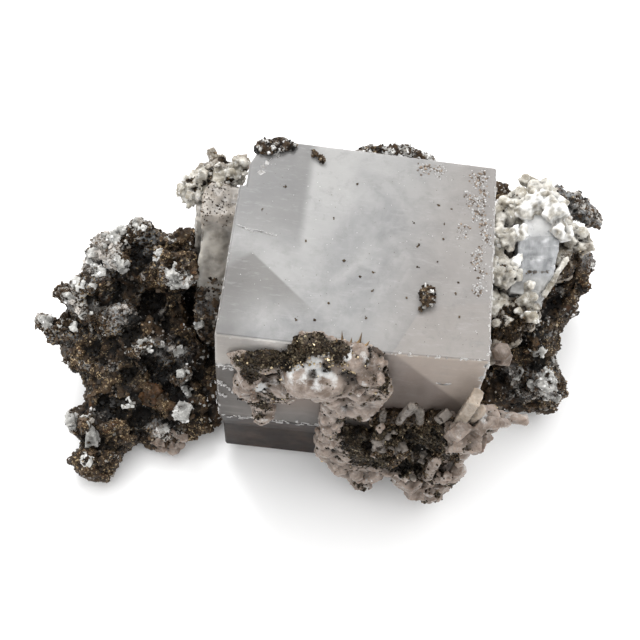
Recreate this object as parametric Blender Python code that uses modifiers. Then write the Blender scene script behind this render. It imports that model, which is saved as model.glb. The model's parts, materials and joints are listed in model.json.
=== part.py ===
"""A fluorite cube grown on pyrite-coated ore rock, with white calcite and quartz crystals.

The pieces are the fluorite cube, the rock that carries it and the crystal groups that grew on both.
Blender's units are metres; the sizes below are written in millimetres and scaled by MM. +Z is up, +X runs
along the specimen and -Y is its show side. The model is laid out about the middle of the cube's footprint,
with the floor at z = 0, and one empty then carries it all so that the origin is at the middle of the
specimen's footprint.
"""

import math
import random

import bmesh
import bpy
from mathutils import Euler, Matrix, Vector

MM = 0.001

# Driving dimensions, in millimetres
CUBE_WIDTH = 46.0
CUBE_DEPTH = 40.0
CUBE_TOP = 54.5
CUBE_BOTTOM = 4.0
EDGE_ROUND = 0.35
GAP = 0.35
ROCK_VOXEL = 1.1
CRYSTAL_VOXEL = 0.7
BUMP_DEPTH = 3
FLOOR_BLOCK = 200.0

LEFT = -CUBE_WIDTH / 2
RIGHT = CUBE_WIDTH / 2
FRONT = -CUBE_DEPTH / 2
BACK = CUBE_DEPTH / 2

# The proud growth layer on the cube's front: how far it stands out, and where it starts and ends
LAYER_TOP = 46.5
LAYER_LOW = 27.5
LEDGE = 15.5
LAYER_OUT_TOP = 1.7
LAYER_OUT_LOW = 3.3
LAYER_RIGHT_SHARE = 0.3

# The growth step on the left side
STEP_IN = 1.2
STEP_FROM = 10.3

# The back face runs slightly out of square: its left end lies this much deeper
BACK_SKEW = 1.0

# The worn back left corner and the facet by the front right corner: flat cuts through these points
WORN_CORNER = ((-22.0, 14.5, 0), (-0.92, 0.38, 0))
CORNER_FACET = ((6.6, FRONT, CUBE_TOP), (16.5, FRONT - 0.9, 42.7), (RIGHT, FRONT + 0.5, CUBE_TOP))
EDGE_ANGLE = 20

# The calcite block by the cube's left side: its middle and size, the slant its front broke off along,
# the cut at its back corner (a point and a direction) and the smaller block grown beside it
BLOCK_MIDDLE = (-27.3, 8.5, 27.0)
BLOCK_SIZE = (7.4, 20.0, 30.0)
BLOCK_SLANT = ((-30.0, 10.8, 42.0), (-24.0, 11.6, 42.0), (-27.0, -1.0, 25.0))
BLOCK_CORNER = ((-29.6, 18.5, 42.0), (-0.6, 0.8, 0))
BLOCK_BESIDE = (("block", (-31.0, 13.4, 29.0), (4.0, 7.0, 20.0), (-8, 4, 6)),)

# The clear crystal on the right: middle, size, turn and the break at its lower right corner
CLEAR_MIDDLE = (34.8, 16.2, 31.5)
CLEAR_SIZE = (8.0, 19.0, 10.0)
CLEAR_TURN = (17, 0, -7)
CLEAR_BREAK = ((37.6, 9.8, 33.0), (0.8, -0.6, 0.1))

# The skin of each melted group: height and size of its bumps in millimetres, share of facets kept
ROCK_SKIN = (2.6, 3.4, 0.095)
REAR_SKIN = (0.8, 1.8, 0.15)
RIGHT_SKIN = (1.2, 1.8, 0.085)
FRONT_SKIN = (1.6, 1.8, 0.065)
BACK_SKIN = (1.0, 1.8, 0.14)
CORNER_SKIN = (0.8, 1.8, 0.25)

# Plain finishes: colour, roughness, metallic and transmission
FINISHES = {
    "fluorite": ((0.74, 0.74, 0.75), 0.18, 0.0, 0.4),
    "pyritic_rock": ((0.11, 0.085, 0.06), 0.7, 0.0, 0.0),
    "calcite": ((0.78, 0.74, 0.70), 0.35, 0.0, 0.0),
    "clear_quartz": ((0.78, 0.82, 0.86), 0.1, 0.0, 0.7),
    "pyrite": ((0.55, 0.42, 0.22), 0.3, 1.0, 0.0),
}

# The rock's masses: (middle, three diameters, turn about Z in degrees)
ROCK_MASSES = (
    # the slab under the cube and the low wall behind it
    ((2, 4, 0), (62, 40, 7.2), 0),
    ((0, 24, 8), (60, 18, 34), 0),
    ((-22, 21, 12), (18, 15, 34), 0),
    ((20, 25, 13), (22, 15, 34), 0),
    ((-27, 9, 3), (22, 28, 20), 0),
    ((31, 16, 3), (16, 24, 18), 0),
    # the left mass: body, back ridge, lower front and the foot by the cube
    ((-42, 4, 8), (31, 30, 26), 0),
    ((-38, 9.5, 19), (25, 14, 23), 8),
    ((-44.5, -8, 7), (20, 21, 20), 0),
    ((-31, -8, 4), (16, 24, 14), 0),
    ((-35.5, -14.5, 3), (19, 10, 14), 25),
    # the right mass: back flank, middle and front foot
    ((37.5, 22, 12), (22, 21, 28), 0),
    ((36, 8, 9), (17, 22, 26), 0),
    ((36, 1, 5), (16, 14, 18), 0),
)

# Knobs and arms that give the rock its outline: (middle, three diameters, turn about X, Y and Z)
ROCK_KNOBS = (
    # left: two arms that point outward, the ridge's knobs and the shoulders below them
    ((-57.6, -4.4, 16.5), (14.5, 6, 6.5), (0, 5, -6)),
    ((-55.2, -0.2, 20.5), (12, 4.5, 5), (0, 8, -33)),
    ((-51.6, 4.4, 25.0), (7, 6, 6.5), (0, 0, 20)),
    ((-54.8, 1.8, 23.0), (4, 3.5, 4), (0, 0, 0)),
    ((-48.3, 9.8, 27.5), (9, 6.5, 8), (0, 0, 10)),
    ((-51.6, 8.0, 26.0), (5, 4, 5), (0, 0, 0)),
    ((-43.5, 11.4, 29.5), (12, 6.5, 8), (0, 0, 0)),
    ((-36.0, 10.8, 30.0), (9, 6.5, 8), (0, 0, 0)),
    ((-46.0, 15.5, 19.0), (10, 8, 10), (0, 0, 0)),
    ((-34.0, 17.0, 18.0), (10, 8, 14), (0, 0, 0)),
    ((-41.5, -7.5, 17.0), (9, 8, 8), (0, 0, 0)),
    ((-45.0, -3.0, 21.0), (12, 7, 8), (0, 0, 0)),
    # left: the worn lower edge and the knob that stands forward on the floor
    ((-53.8, -8.4, 13.0), (9, 8, 8), (0, 0, -30)),
    ((-49.4, -14.6, 9.5), (8, 8, 9), (0, 0, 0)),
    ((-53.2, -20.8, 8.0), (5.5, 5, 6), (0, 0, 0)),
    ((-46.0, -20.0, 6.5), (14, 11, 13), (0, 0, 0)),
    ((-48.4, -27.2, 4.5), (11, 8.5, 10.5), (0, 0, 0)),
    ((-36.5, -19.6, 4.0), (10, 6.5, 8), (0, 0, 0)),
    ((-31.5, -15.5, 5.0), (8, 6, 9), (0, 0, 30)),
    # right: the long arm at the back, the flank and the lumpy foot in front
    ((45.6, 33.0, 24.5), (14, 5, 6.5), (0, 5, -30)),
    ((39.5, 33.5, 24.5), (8, 7, 12), (0, 0, 0)),
    ((27.8, 29.5, 28.5), (6, 6, 12), (0, 0, 0)),
    ((44.8, 22.0, 17.0), (8.5, 11, 18), (0, 0, 0)),
    ((42.8, 14.5, 15.5), (9, 9, 16), (0, 0, 0)),
    ((38.4, 7.5, 17.0), (9, 11, 14), (0, 0, 0)),
    ((41.4, -2.2, 9.5), (10.5, 10, 14), (0, 0, 0)),
    ((33.5, -2.5, 5.0), (11, 8, 12), (0, 0, 0)),
)

# The wall behind the cube is broken into a few blunt ridges.
RIDGES = 7
RIDGE_STEP = 8.5
RIDGE_START = (-25.0, 29.0, 14.0)
RIDGE_SIZE = (6.5, 7.0, 20.0)
RIDGE_SWAY = 1.5
RIDGE_HEIGHTS = (-4.0, 3.0)
RIDGE_LEAN = (15, 20, 30)

# Small knobs strewn over every mass and knob
SEED = 7
STREWN_PER_MASS = 14
STREWN_PER_KNOB = 5
STREWN_SIZES = (2.6, 5.2)
STREWN_HEIGHTS = (-0.2, 1.0)
STREWN_SUNK = 0.3

# Flat-faced crystals that stand in the rock
ROCK_CRYSTALS = (
    # left: the stub in front of the ridge, then rhombs, a point and slabs lower down
    ("block", (-35.4, 6.4, 27.5), (7.0, 6.0, 16.0), (24, 4, 8)),
    ("block", (-39.2, 7.0, 29.5), (2.2, 4.0, 9.0), (20, 4, 12)),
    ("block", (-47.0, 6.5, 28.5), (4.5, 3.0, 6.0), (15, -20, 20)),
    ("block", (-32.0, -17.2, 11.5), (3.4, 3.2, 4.2), (18, 14, 24)),
    ("block", (-35.0, -16.6, 10.5), (3.0, 3.0, 3.4), (35, 20, 50)),
    ("block", (-38.8, -14.4, 11.5), (5.0, 4.2, 4.6), (12, 24, 32)),
    ("prism", (-49.6, -22.6, 12.0), (5.0, 4.4, 8.0), (12, -4, 20)),
    ("block", (-47.6, -27.6, 8.6), (4.6, 3.6, 4.0), (20, 10, 35)),
    ("block", (-39.6, -3.4, 17.6), (5.0, 4.4, 5.0), (30, 12, 20)),
    ("block", (-33.2, -9.6, 12.4), (3.8, 3.4, 4.0), (10, 32, 44)),
    ("block", (-44.4, -16.4, 12.6), (4.6, 3.0, 3.2), (25, 5, 15)),
    ("block", (-29.4, 5.0, 20.0), (4.4, 4.8, 3.6), (14, 8, 28)),
    # right: blocks of quartz on the front foot and the flank
    ("block", (40.4, -3.0, 14.6), (6.0, 5.0, 5.0), (24, 12, 30)),
    ("block", (36.8, -3.6, 11.6), (4.4, 3.4, 3.4), (30, -14, 10)),
    ("block", (37.2, 3.2, 20.6), (4.2, 4.0, 4.4), (22, 20, 42)),
    ("block", (45.4, 17.4, 22.4), (4.6, 5.6, 4.0), (8, 22, 18)),
)

# Deep pits in the rock: (middle, three diameters)
ROCK_PITS = (
    ((-30.4, 3.0, 19.0), (8.0, 10.0, 15.0)),
    ((-41.0, 1.0, 24.0), (8.0, 6.0, 9.0)),
    ((-37.6, -9.0, 18.0), (8.0, 5.0, 9.0)),
    ((-41.5, -20.6, 15.0), (9.0, 6.0, 8.0)),
    ((42.5, 8.6, 25.0), (7.0, 6.0, 8.0)),
    ((31.6, -0.4, 20.0), (6.0, 8.0, 10.0)),
)
FRONT_PITS = (
    ((10.4, -28.0, 27.0), (7.0, 5.0, 5.0)),
    ((15.4, -28.0, 26.0), (5.0, 5.0, 7.0)),
    ((4.6, -27.6, 34.0), (4.0, 4.6, 8.0)),
)

# The crystal groups: a kind of shape, its middle, its size and its turn
REAR_CRYSTALS = (
    ("lump", (-28.0, 21.0, 32.0), (7.0, 6.0, 18.0), (0, 0, 0)),
    ("lump", (-34.8, 18.0, 38.8), (4.2, 4.0, 4.4), (0, 0, 0)),
    ("lump", (-33.0, 16.0, 38.2), (3.4, 3.0, 3.6), (0, 0, 0)),
    ("lump", (-32.6, 20.2, 39.4), (5.0, 4.4, 4.6), (0, 0, 0)),
    ("lump", (-29.8, 17.8, 40.0), (6.2, 4.6, 5.4), (0, 0, 0)),
    ("lump", (-28.8, 20.6, 40.6), (5.2, 4.6, 4.8), (0, 0, 0)),
    ("lump", (-31.4, 22.8, 39.8), (4.4, 4.0, 4.4), (0, 0, 0)),
    ("lump", (-28.8, 24.0, 40.4), (4.8, 4.0, 4.2), (0, 0, 0)),
    ("lump", (-25.6, 21.4, 41.4), (5.4, 4.8, 5.0), (0, 0, 0)),
    ("lump", (-24.4, 22.4, 44.0), (3.8, 3.4, 3.6), (0, 0, 0)),
)

RIGHT_CRYSTALS = (
    ("lump", (29.6, 12.0, 26.0), (9.0, 32.0, 12.0), (0, 0, 0)),
    ("lump", (38.6, 19.6, 25.5), (13.0, 12.0, 9.0), (0, 0, 0)),
    ("lump", (28.4, 23.6, 35.4), (7.0, 6.0, 7.0), (0, 0, 0)),
    ("lump", (31.4, 26.4, 35.6), (7.0, 6.0, 7.0), (0, 0, 0)),
    ("lump", (35.6, 27.4, 35.6), (7.6, 5.6, 6.6), (0, 0, 0)),
    ("lump", (27.2, 17.6, 33.6), (6.4, 6.6, 8.0), (0, 0, 0)),
    ("lump", (27.4, 10.6, 32.8), (6.6, 7.0, 8.0), (0, 0, 0)),
    ("lump", (27.2, 4.4, 30.4), (6.0, 6.6, 8.0), (0, 0, 0)),
    ("lump", (29.0, -2.4, 25.0), (6.0, 5.6, 8.0), (0, 0, 0)),
    ("lump", (33.4, 4.6, 27.6), (7.0, 6.6, 7.6), (0, 0, 0)),
    ("lump", (40.4, 24.4, 30.4), (6.4, 5.6, 6.4), (0, 0, 0)),
    ("lump", (44.0, 21.8, 28.8), (6.2, 5.2, 6.2), (0, 0, 0)),
    ("block", (41.8, 17.6, 28.6), (5.0, 4.6, 5.0), (14, 10, 25)),
    ("block", (33.6, 2.2, 31.0), (2.6, 2.6, 6.0), (25, 10, 25)),
)

FRONT_CRUST = (
    # the saddle over the cube's top front edge
    ("lump", (-6.0, -20.0, 53.4), (12.4, 6.0, 6.4), (0, 0, 0)),
    ("lump", (-5.6, -23.8, 48.0), (12.0, 6.4, 9.0), (0, 0, 0)),
    ("lump", (-15.4, -21.4, 50.2), (12.0, 5.0, 6.0), (0, 0, 0)),
    ("lump", (-17.2, -22.6, 42.0), (6.0, 4.4, 16.0), (0, 0, 0)),
    ("lump", (-14.4, -24.0, 33.0), (5.0, 4.0, 9.0), (0, 0, 0)),
    ("lump", (-11.5, -23.2, 42.0), (8.0, 4.6, 10.0), (0, 0, 0)),
    ("lump", (1.4, -20.8, 52.8), (10.6, 6.0, 7.0), (0, 0, 0)),
    ("lump", (3.8, -23.0, 46.6), (8.4, 6.0, 13.6), (0, 0, 0)),
    ("lump", (2.8, -23.8, 40.0), (7.0, 5.0, 8.0), (0, 0, 0)),
    # the neck and the column that run down to the lower group
    ("lump", (-1.8, -24.0, 38.0), (5.0, 4.0, 12.0), (0, 0, 0)),
    ("lump", (-2.0, -24.4, 27.0), (5.4, 5.0, 28.0), (0, 0, 0)),
    # the lower group on the cube's front and its right corner
    ("lump", (3.0, -24.2, 19.0), (11.0, 6.6, 25.0), (0, 0, 0)),
    ("lump", (9.6, -24.0, 22.0), (12.0, 6.6, 24.0), (0, 0, 0)),
    ("lump", (16.6, -24.0, 22.0), (12.0, 7.6, 26.0), (0, 0, 0)),
    ("lump", (21.6, -22.8, 27.0), (8.0, 7.0, 16.0), (0, 0, 0)),
    ("lump", (26.6, -20.8, 32.0), (5.6, 5.0, 6.6), (0, 0, 0)),
    ("lump", (0.8, -25.4, 14.2), (5.6, 5.0, 9.6), (0, 0, 0)),
    ("lump", (5.4, -26.0, 8.8), (5.4, 4.6, 7.0), (0, 0, 0)),
    ("lump", (13.4, -25.6, 13.0), (6.0, 5.0, 8.4), (0, 0, 0)),
    ("lump", (19.4, -26.0, 7.6), (7.6, 5.6, 9.4), (0, 0, 0)),
    ("lump", (22.4, -25.0, 15.4), (5.0, 5.2, 12.0), (0, 0, 0)),
)

FRONT_CRYSTALS = (
    ("prism", (7.0, -25.8, 34.0), (2.4, 2.4, 8.0), (8, 0, 0)),
    ("prism", (11.2, -25.4, 39.0), (3.0, 3.0, 11.0), (8, 20, 0)),
    ("prism", (13.6, -25.8, 37.6), (3.0, 3.0, 8.0), (8, 4, 0)),
    ("block", (17.2, -24.2, 39.0), (4.4, 2.6, 2.8), (0, 20, 15)),
    ("block", (21.0, -23.0, 41.6), (3.2, 2.6, 13.0), (10, 24, 0)),
    ("block", (21.2, -25.8, 35.0), (5.6, 5.0, 7.0), (20, 12, 15)),
    ("block", (24.8, -22.6, 38.0), (4.0, 4.0, 4.4), (12, 30, 20)),
    ("block", (24.4, -23.4, 32.0), (4.0, 4.0, 5.0), (30, 12, 40)),
    ("prism", (29.6, -19.8, 32.6), (3.4, 3.4, 8.6), (0, 80, 0)),
    ("prism", (19.2, -27.2, 18.0), (3.6, 3.4, 12.0), (14, 18, 0)),
    ("block", (11.6, -27.2, 18.4), (2.2, 2.4, 10.0), (18, 40, 0)),
)

BACK_CRUST = (
    ("lump", (0.6, 22.0, 50.6), (8.0, 4.6, 6.4), (0, 0, 0)),
    ("lump", (5.4, 22.4, 51.0), (7.6, 5.0, 7.0), (0, 0, 0)),
    ("lump", (9.8, 22.0, 50.6), (6.0, 4.2, 5.6), (0, 0, 0)),
)

CORNER_CRUST = (
    ("lump", (-19.2, 18.6, 54.6), (4.8, 4.4, 3.4), (0, 0, 0)),
    ("lump", (-16.8, 19.4, 54.6), (4.6, 4.0, 3.6), (0, 0, 0)),
    ("lump", (-14.6, 19.4, 54.6), (3.0, 2.6, 2.6), (0, 0, 0)),
)

# Pyrite cubes that lie on the cube's top: middles about the cluster's middle, edge and turn about Z
SMALL_PYRITE_AT = (-9.6, 17.7)
LARGE_PYRITE_AT = (11.9, -9.3)
PYRITE_TILT = (12, -9)
PYRITE_LIFT = 0.42
SMALL_PYRITE = (
    ((-0.9, 0.9), 0.9, 20),
    ((-0.3, 0.3), 1.1, 50),
    ((0.4, -0.2), 1.0, 10),
    ((0.9, -0.9), 0.8, 35),
)
LARGE_PYRITE = (
    ((-0.6, 2.1), 1.1, 20),
    ((0.4, 1.9), 1.2, 55),
    ((-0.8, 1.0), 1.3, 35),
    ((0.6, 0.8), 1.4, 15),
    ((-0.3, 0.0), 1.3, 60),
    ((0.7, -0.5), 1.2, 30),
    ((-0.5, -1.1), 1.2, 10),
    ((-1.0, -2.0), 0.9, 45),
)


def clear_scene():
    for old in list(bpy.data.objects):
        bpy.data.objects.remove(old, do_unlink=True)


def make_collection(name):
    collection = bpy.data.collections.new(name)
    bpy.context.scene.collection.children.link(collection)
    return collection


def make_material(name):
    colour, roughness, metallic, transmission = FINISHES[name]
    material = bpy.data.materials.new(name)
    material.use_nodes = True
    shader = material.node_tree.nodes["Principled BSDF"]
    shader.inputs["Base Color"].default_value = (*colour, 1.0)
    shader.inputs["Roughness"].default_value = roughness
    shader.inputs["Metallic"].default_value = metallic
    shader.inputs["Transmission Weight"].default_value = transmission
    material.diffuse_color = (*colour, 1.0)
    return material


def placed(middle, size, turn=(0, 0, 0)):
    """Carries a shape of unit size to its middle, its size in millimetres and its turn in degrees."""
    rotation = Euler([math.radians(angle) for angle in turn]).to_matrix().to_4x4()
    scale = Matrix.Diagonal((*[MM * side for side in size], 1.0))
    return Matrix.Translation(Vector(middle) * MM) @ rotation @ scale


def add_lump(form, middle, size, turn=(0, 0, 0)):
    """A rounded knob."""
    bmesh.ops.create_icosphere(form, subdivisions=2, radius=0.5, matrix=placed(middle, size, turn))


def add_block(form, middle, size, turn=(0, 0, 0)):
    """A flat-faced block, as calcite cleaves and pyrite grows."""
    bmesh.ops.create_cube(form, size=1.0, matrix=placed(middle, size, turn))


def add_prism(form, middle, size, turn=(0, 0, 0)):
    """A six-sided crystal with a blunt tip, along its own Z."""
    bmesh.ops.create_cone(
        form, cap_ends=True, segments=6, radius1=0.5, radius2=0.3, depth=1.0,
        matrix=placed(middle, size, turn),
    )


def add_object(form, name, collection, material=None):
    bmesh.ops.recalc_face_normals(form, faces=form.faces)
    mesh = bpy.data.meshes.new(name)
    form.to_mesh(mesh)
    form.free()
    made = bpy.data.objects.new(name, mesh)
    collection.objects.link(made)
    if material:
        mesh.materials.append(material)
    return made


def settle(made):
    """Turns the object's modifiers into its own mesh."""
    graph = bpy.context.evaluated_depsgraph_get()
    graph.update()
    material = made.data.materials[0] if made.data.materials else None
    shape = bpy.data.meshes.new_from_object(made.evaluated_get(graph))
    made.modifiers.clear()
    made.data = shape
    if material and not shape.materials:
        shape.materials.append(material)
    return made


def keep_largest(made):
    """Drops the crumbs that a cut leaves loose, and keeps the piece with the most faces."""
    form = bmesh.new()
    form.from_mesh(made.data)
    left = set(form.faces)
    largest = set()
    while left:
        piece = set()
        front = [left.pop()]
        while front:
            face = front.pop()
            piece.add(face)
            for edge in face.edges:
                paired = len(edge.link_faces) == 2
                beside = [other for other in edge.link_faces if paired and other in left]
                left.difference_update(beside)
                front.extend(beside)
        if len(piece) > len(largest):
            largest = piece
    crumbs = [face for face in form.faces if face not in largest]
    bmesh.ops.delete(form, geom=crumbs, context="FACES")
    form.to_mesh(made.data)
    form.free()
    return made


def boolean(made, other, operation):
    step = made.modifiers.new(operation.lower(), "BOOLEAN")
    step.operation = operation
    step.solver = "EXACT"
    step.use_self = True
    step.object = other
    return keep_largest(settle(made))


def melt(made, voxel, skin):
    """Runs touching shapes into one rough skin: a voxel remesh, clouds of bumps, then fewer facets."""
    bump, bump_size, ratio = skin
    add_skin(made, voxel)
    clouds = bpy.data.textures.new(made.name + "_bumps", "CLOUDS")
    clouds.noise_scale = bump_size * MM
    clouds.noise_depth = BUMP_DEPTH
    rough = made.modifiers.new("rough", "DISPLACE")
    rough.texture = clouds
    rough.texture_coords = "LOCAL"
    rough.strength = bump * MM
    add_skin(made, voxel)
    fewer = made.modifiers.new("facets", "DECIMATE")
    fewer.ratio = ratio
    return keep_largest(settle(made))


def add_skin(made, voxel):
    skin = made.modifiers.new("one_skin", "REMESH")
    skin.mode = "VOXEL"
    skin.voxel_size = voxel * MM


def swollen(made, cutters, by=GAP):
    """A cutter of an object's shape that stands out from it by the gap."""
    copy = bpy.data.objects.new("pocket_of_" + made.name, made.data.copy())
    cutters.objects.link(copy)
    grow = copy.modifiers.new("gap", "DISPLACE")
    grow.mid_level = 0.0
    grow.strength = by * MM
    hide(settle(copy))
    return copy


def hide(helper):
    helper.hide_render = True
    helper.display_type = "WIRE"


def cut_flat(made, through, facing):
    """Slices a closed mesh with a plane and caps it. The side that the facing direction points to goes."""
    form = bmesh.new()
    form.from_mesh(made.data)
    everything = list(form.verts) + list(form.edges) + list(form.faces)
    point = Vector(through) * MM
    sliced = bmesh.ops.bisect_plane(
        form, geom=everything, plane_co=point, plane_no=Vector(facing), clear_outer=True, dist=1e-7
    )
    rim = [edge for edge in sliced["geom_cut"] if isinstance(edge, bmesh.types.BMEdge)]
    bmesh.ops.edgenet_fill(form, edges=rim)
    bmesh.ops.recalc_face_normals(form, faces=form.faces)
    form.to_mesh(made.data)
    form.free()


def facing_of(first, second, third):
    """The direction square to three points."""
    a, b, c = (Vector(point) for point in (first, second, third))
    return (b - a).cross(c - a).normalized()


# The fluorite cube

def make_cube(parts, cutters, material):
    """The main cube, with its proud front layer, its stepped left side and its worn back corner."""
    height = CUBE_TOP - CUBE_BOTTOM
    middle_z = (CUBE_TOP + CUBE_BOTTOM) / 2
    spare = 10.0
    form = bmesh.new()
    add_block(form, (0, 0, middle_z), (CUBE_WIDTH, CUBE_DEPTH + 2 * spare, height))
    cube = add_object(form, "fluorite_cube", parts, material)
    shape_front(cube, cutters)

    # The rear of the left side steps in by a growth line, and the corner behind it is worn off.
    form = bmesh.new()
    notch_middle = (LEFT + STEP_IN - spare / 2, STEP_FROM + spare, middle_z)
    add_block(form, notch_middle, (spare, 2 * spare, height + spare))
    notch = add_object(form, "left_step", cutters)
    boolean(cube, notch, "DIFFERENCE")
    hide(notch)
    cut_flat(cube, *WORN_CORNER)
    cut_flat(cube, (RIGHT, BACK, 0), (BACK_SKEW, CUBE_WIDTH, 0))
    round_edges(cube)
    return cube


def shape_front(cube, cutters):
    """The later growth on the front: bevelled at the top, leaning out, broken off along a ledge."""
    low_out = FRONT - LAYER_OUT_LOW
    right_top_out = LAYER_OUT_TOP * LAYER_RIGHT_SHARE
    right_top_z = CUBE_TOP - (CUBE_TOP - LAYER_TOP) * LAYER_RIGHT_SHARE
    left_top = (LEFT, FRONT - LAYER_OUT_TOP, LAYER_TOP)
    left_low = (LEFT, low_out, LAYER_LOW)
    right_top = (RIGHT, FRONT - right_top_out, right_top_z)
    cut_flat(cube, left_top, toward_front(left_top, right_top, left_low))
    bevel = ((LEFT, FRONT, CUBE_TOP), (RIGHT, FRONT, CUBE_TOP), left_top)
    cut_flat(cube, bevel[0], toward_front(*bevel))
    cut_flat(cube, CORNER_FACET[0], toward_front(*CORNER_FACET))

    form = bmesh.new()
    deep = 20.0
    add_block(form, (0, FRONT - deep / 2, 0), (CUBE_WIDTH + deep, deep, 2 * LAYER_LOW + deep))
    below = add_object(form, "below_ledge", cutters)
    undercut = ((LEFT, FRONT, LEDGE), (RIGHT, FRONT, LEDGE), (LEFT, low_out, LAYER_LOW))
    cut_flat(below, undercut[0], facing_of(*undercut) * -1)
    boolean(cube, below, "DIFFERENCE")
    hide(below)


def toward_front(first, second, third):
    """The direction square to three points that points to the show side."""
    facing = facing_of(first, second, third)
    return facing if facing.y < 0 else -facing


def round_edges(cube):
    """The cube's crests are slightly worn."""
    soft = cube.modifiers.new("worn_edges", "BEVEL")
    soft.width = EDGE_ROUND * MM
    soft.segments = 1
    soft.limit_method = "ANGLE"
    soft.angle_limit = math.radians(EDGE_ANGLE)
    settle(cube)


# The rock

def make_rock(parts, cutters, material):
    """Masses and knobs melted into one rough skin, with crystals let in and the base sawn flat."""
    chance = random.Random(SEED)
    form = bmesh.new()
    for middle, size, turn in ROCK_MASSES:
        add_lump(form, middle, size, (0, 0, turn))
        strew_knobs(form, middle, size, STREWN_PER_MASS, chance)
    for middle, size, turn in ROCK_KNOBS:
        add_lump(form, middle, size, turn)
        strew_knobs(form, middle, size, STREWN_PER_KNOB, chance)
    for number in range(RIDGES):
        sway = chance.uniform(-RIDGE_SWAY, RIDGE_SWAY)
        shift = (number * RIDGE_STEP, sway, chance.uniform(*RIDGE_HEIGHTS))
        lean = [chance.uniform(-angle, angle) for angle in RIDGE_LEAN]
        add_lump(form, [at + by for at, by in zip(RIDGE_START, shift)], RIDGE_SIZE, lean)
    rock = add_object(form, "matrix_rock", parts, material)
    melt(rock, ROCK_VOXEL, ROCK_SKIN)
    dig_pits(rock, ROCK_PITS, cutters)
    add_crystals(rock, ROCK_CRYSTALS, cutters)
    form = bmesh.new()
    add_block(form, (0, 0, -FLOOR_BLOCK / 2), (FLOOR_BLOCK, FLOOR_BLOCK, FLOOR_BLOCK))
    floor = add_object(form, "sawn_base", cutters)
    hide(floor)
    boolean(rock, floor, "DIFFERENCE")
    return rock


def strew_knobs(form, middle, size, count, chance):
    """Small knobs on a lump's skin."""
    for _ in range(count):
        around = chance.uniform(0, 2 * math.pi)
        up = chance.uniform(*STREWN_HEIGHTS)
        out = math.sqrt(1 - up * up)
        way = (out * math.cos(around), out * math.sin(around), up)
        knob = chance.uniform(*STREWN_SIZES)
        reach = [max(0.0, side / 2 - STREWN_SUNK * knob) for side in size]
        add_lump(form, [at + to * far for at, to, far in zip(middle, way, reach)], (knob, knob, knob))


def add_crystals(made, rows, cutters):
    """Lets flat-faced crystals into a skin one by one, so that their faces stay flat."""
    for number, (kind, middle, size, turn) in enumerate(rows):
        form = bmesh.new()
        SHAPES[kind](form, middle, size, turn)
        crystal = add_object(form, f"{made.name}_crystal_{number}", cutters)
        hide(crystal)
        boolean(made, crystal, "UNION")


def dig_pits(made, pits, cutters):
    for number, (middle, size) in enumerate(pits):
        form = bmesh.new()
        add_lump(form, middle, size)
        pit = add_object(form, f"{made.name}_pit_{number}", cutters)
        hide(pit)
        boolean(made, pit, "DIFFERENCE")


# The crystal groups

def make_group(name, rows, parts, material, skin):
    """Shapes that grew into each other, melted into one skin."""
    form = bmesh.new()
    for kind, middle, size, turn in rows:
        SHAPES[kind](form, middle, size, turn)
    group = add_object(form, name, parts, material)
    return melt(group, CRYSTAL_VOXEL, skin)


def make_left_block(parts, cutters, material):
    """The tall calcite block against the cube's left side, its front broken off at a slant."""
    form = bmesh.new()
    add_block(form, BLOCK_MIDDLE, BLOCK_SIZE)
    block = add_object(form, "left_calcite_block", parts, material)
    cut_flat(block, BLOCK_SLANT[0], toward_front(*BLOCK_SLANT))
    cut_flat(block, *BLOCK_CORNER)
    add_crystals(block, BLOCK_BESIDE, cutters)
    return block


def make_clear_crystal(parts, material):
    """The clear crystal on the right, leaning to the show side, with its lower right corner broken off."""
    form = bmesh.new()
    add_block(form, CLEAR_MIDDLE, CLEAR_SIZE, CLEAR_TURN)
    crystal = add_object(form, "right_clear_crystal", parts, material)
    cut_flat(crystal, *CLEAR_BREAK)
    return crystal


def make_pyrite(name, middle, rows, parts, cutters, material):
    """A cluster of pyrite cubes that lies on the top of the fluorite cube."""
    blocks = []
    for (across, along), edge, turn in rows:
        at = (middle[0] + across, middle[1] + along, CUBE_TOP + GAP + PYRITE_LIFT * edge)
        blocks.append(("block", at, (edge, edge, edge), (*PYRITE_TILT, turn)))
    form = bmesh.new()
    add_block(form, *blocks[0][1:])
    cluster = add_object(form, name, parts, material)
    add_crystals(cluster, blocks[1:], cutters)
    form = bmesh.new()
    thick = 4.0
    add_block(form, (0, 0, CUBE_TOP + GAP - thick / 2), (CUBE_WIDTH, CUBE_DEPTH, thick))
    floor = add_object(form, name + "_floor", cutters)
    hide(floor)
    boolean(cluster, floor, "DIFFERENCE")


SHAPES = {"lump": add_lump, "block": add_block, "prism": add_prism}


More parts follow.
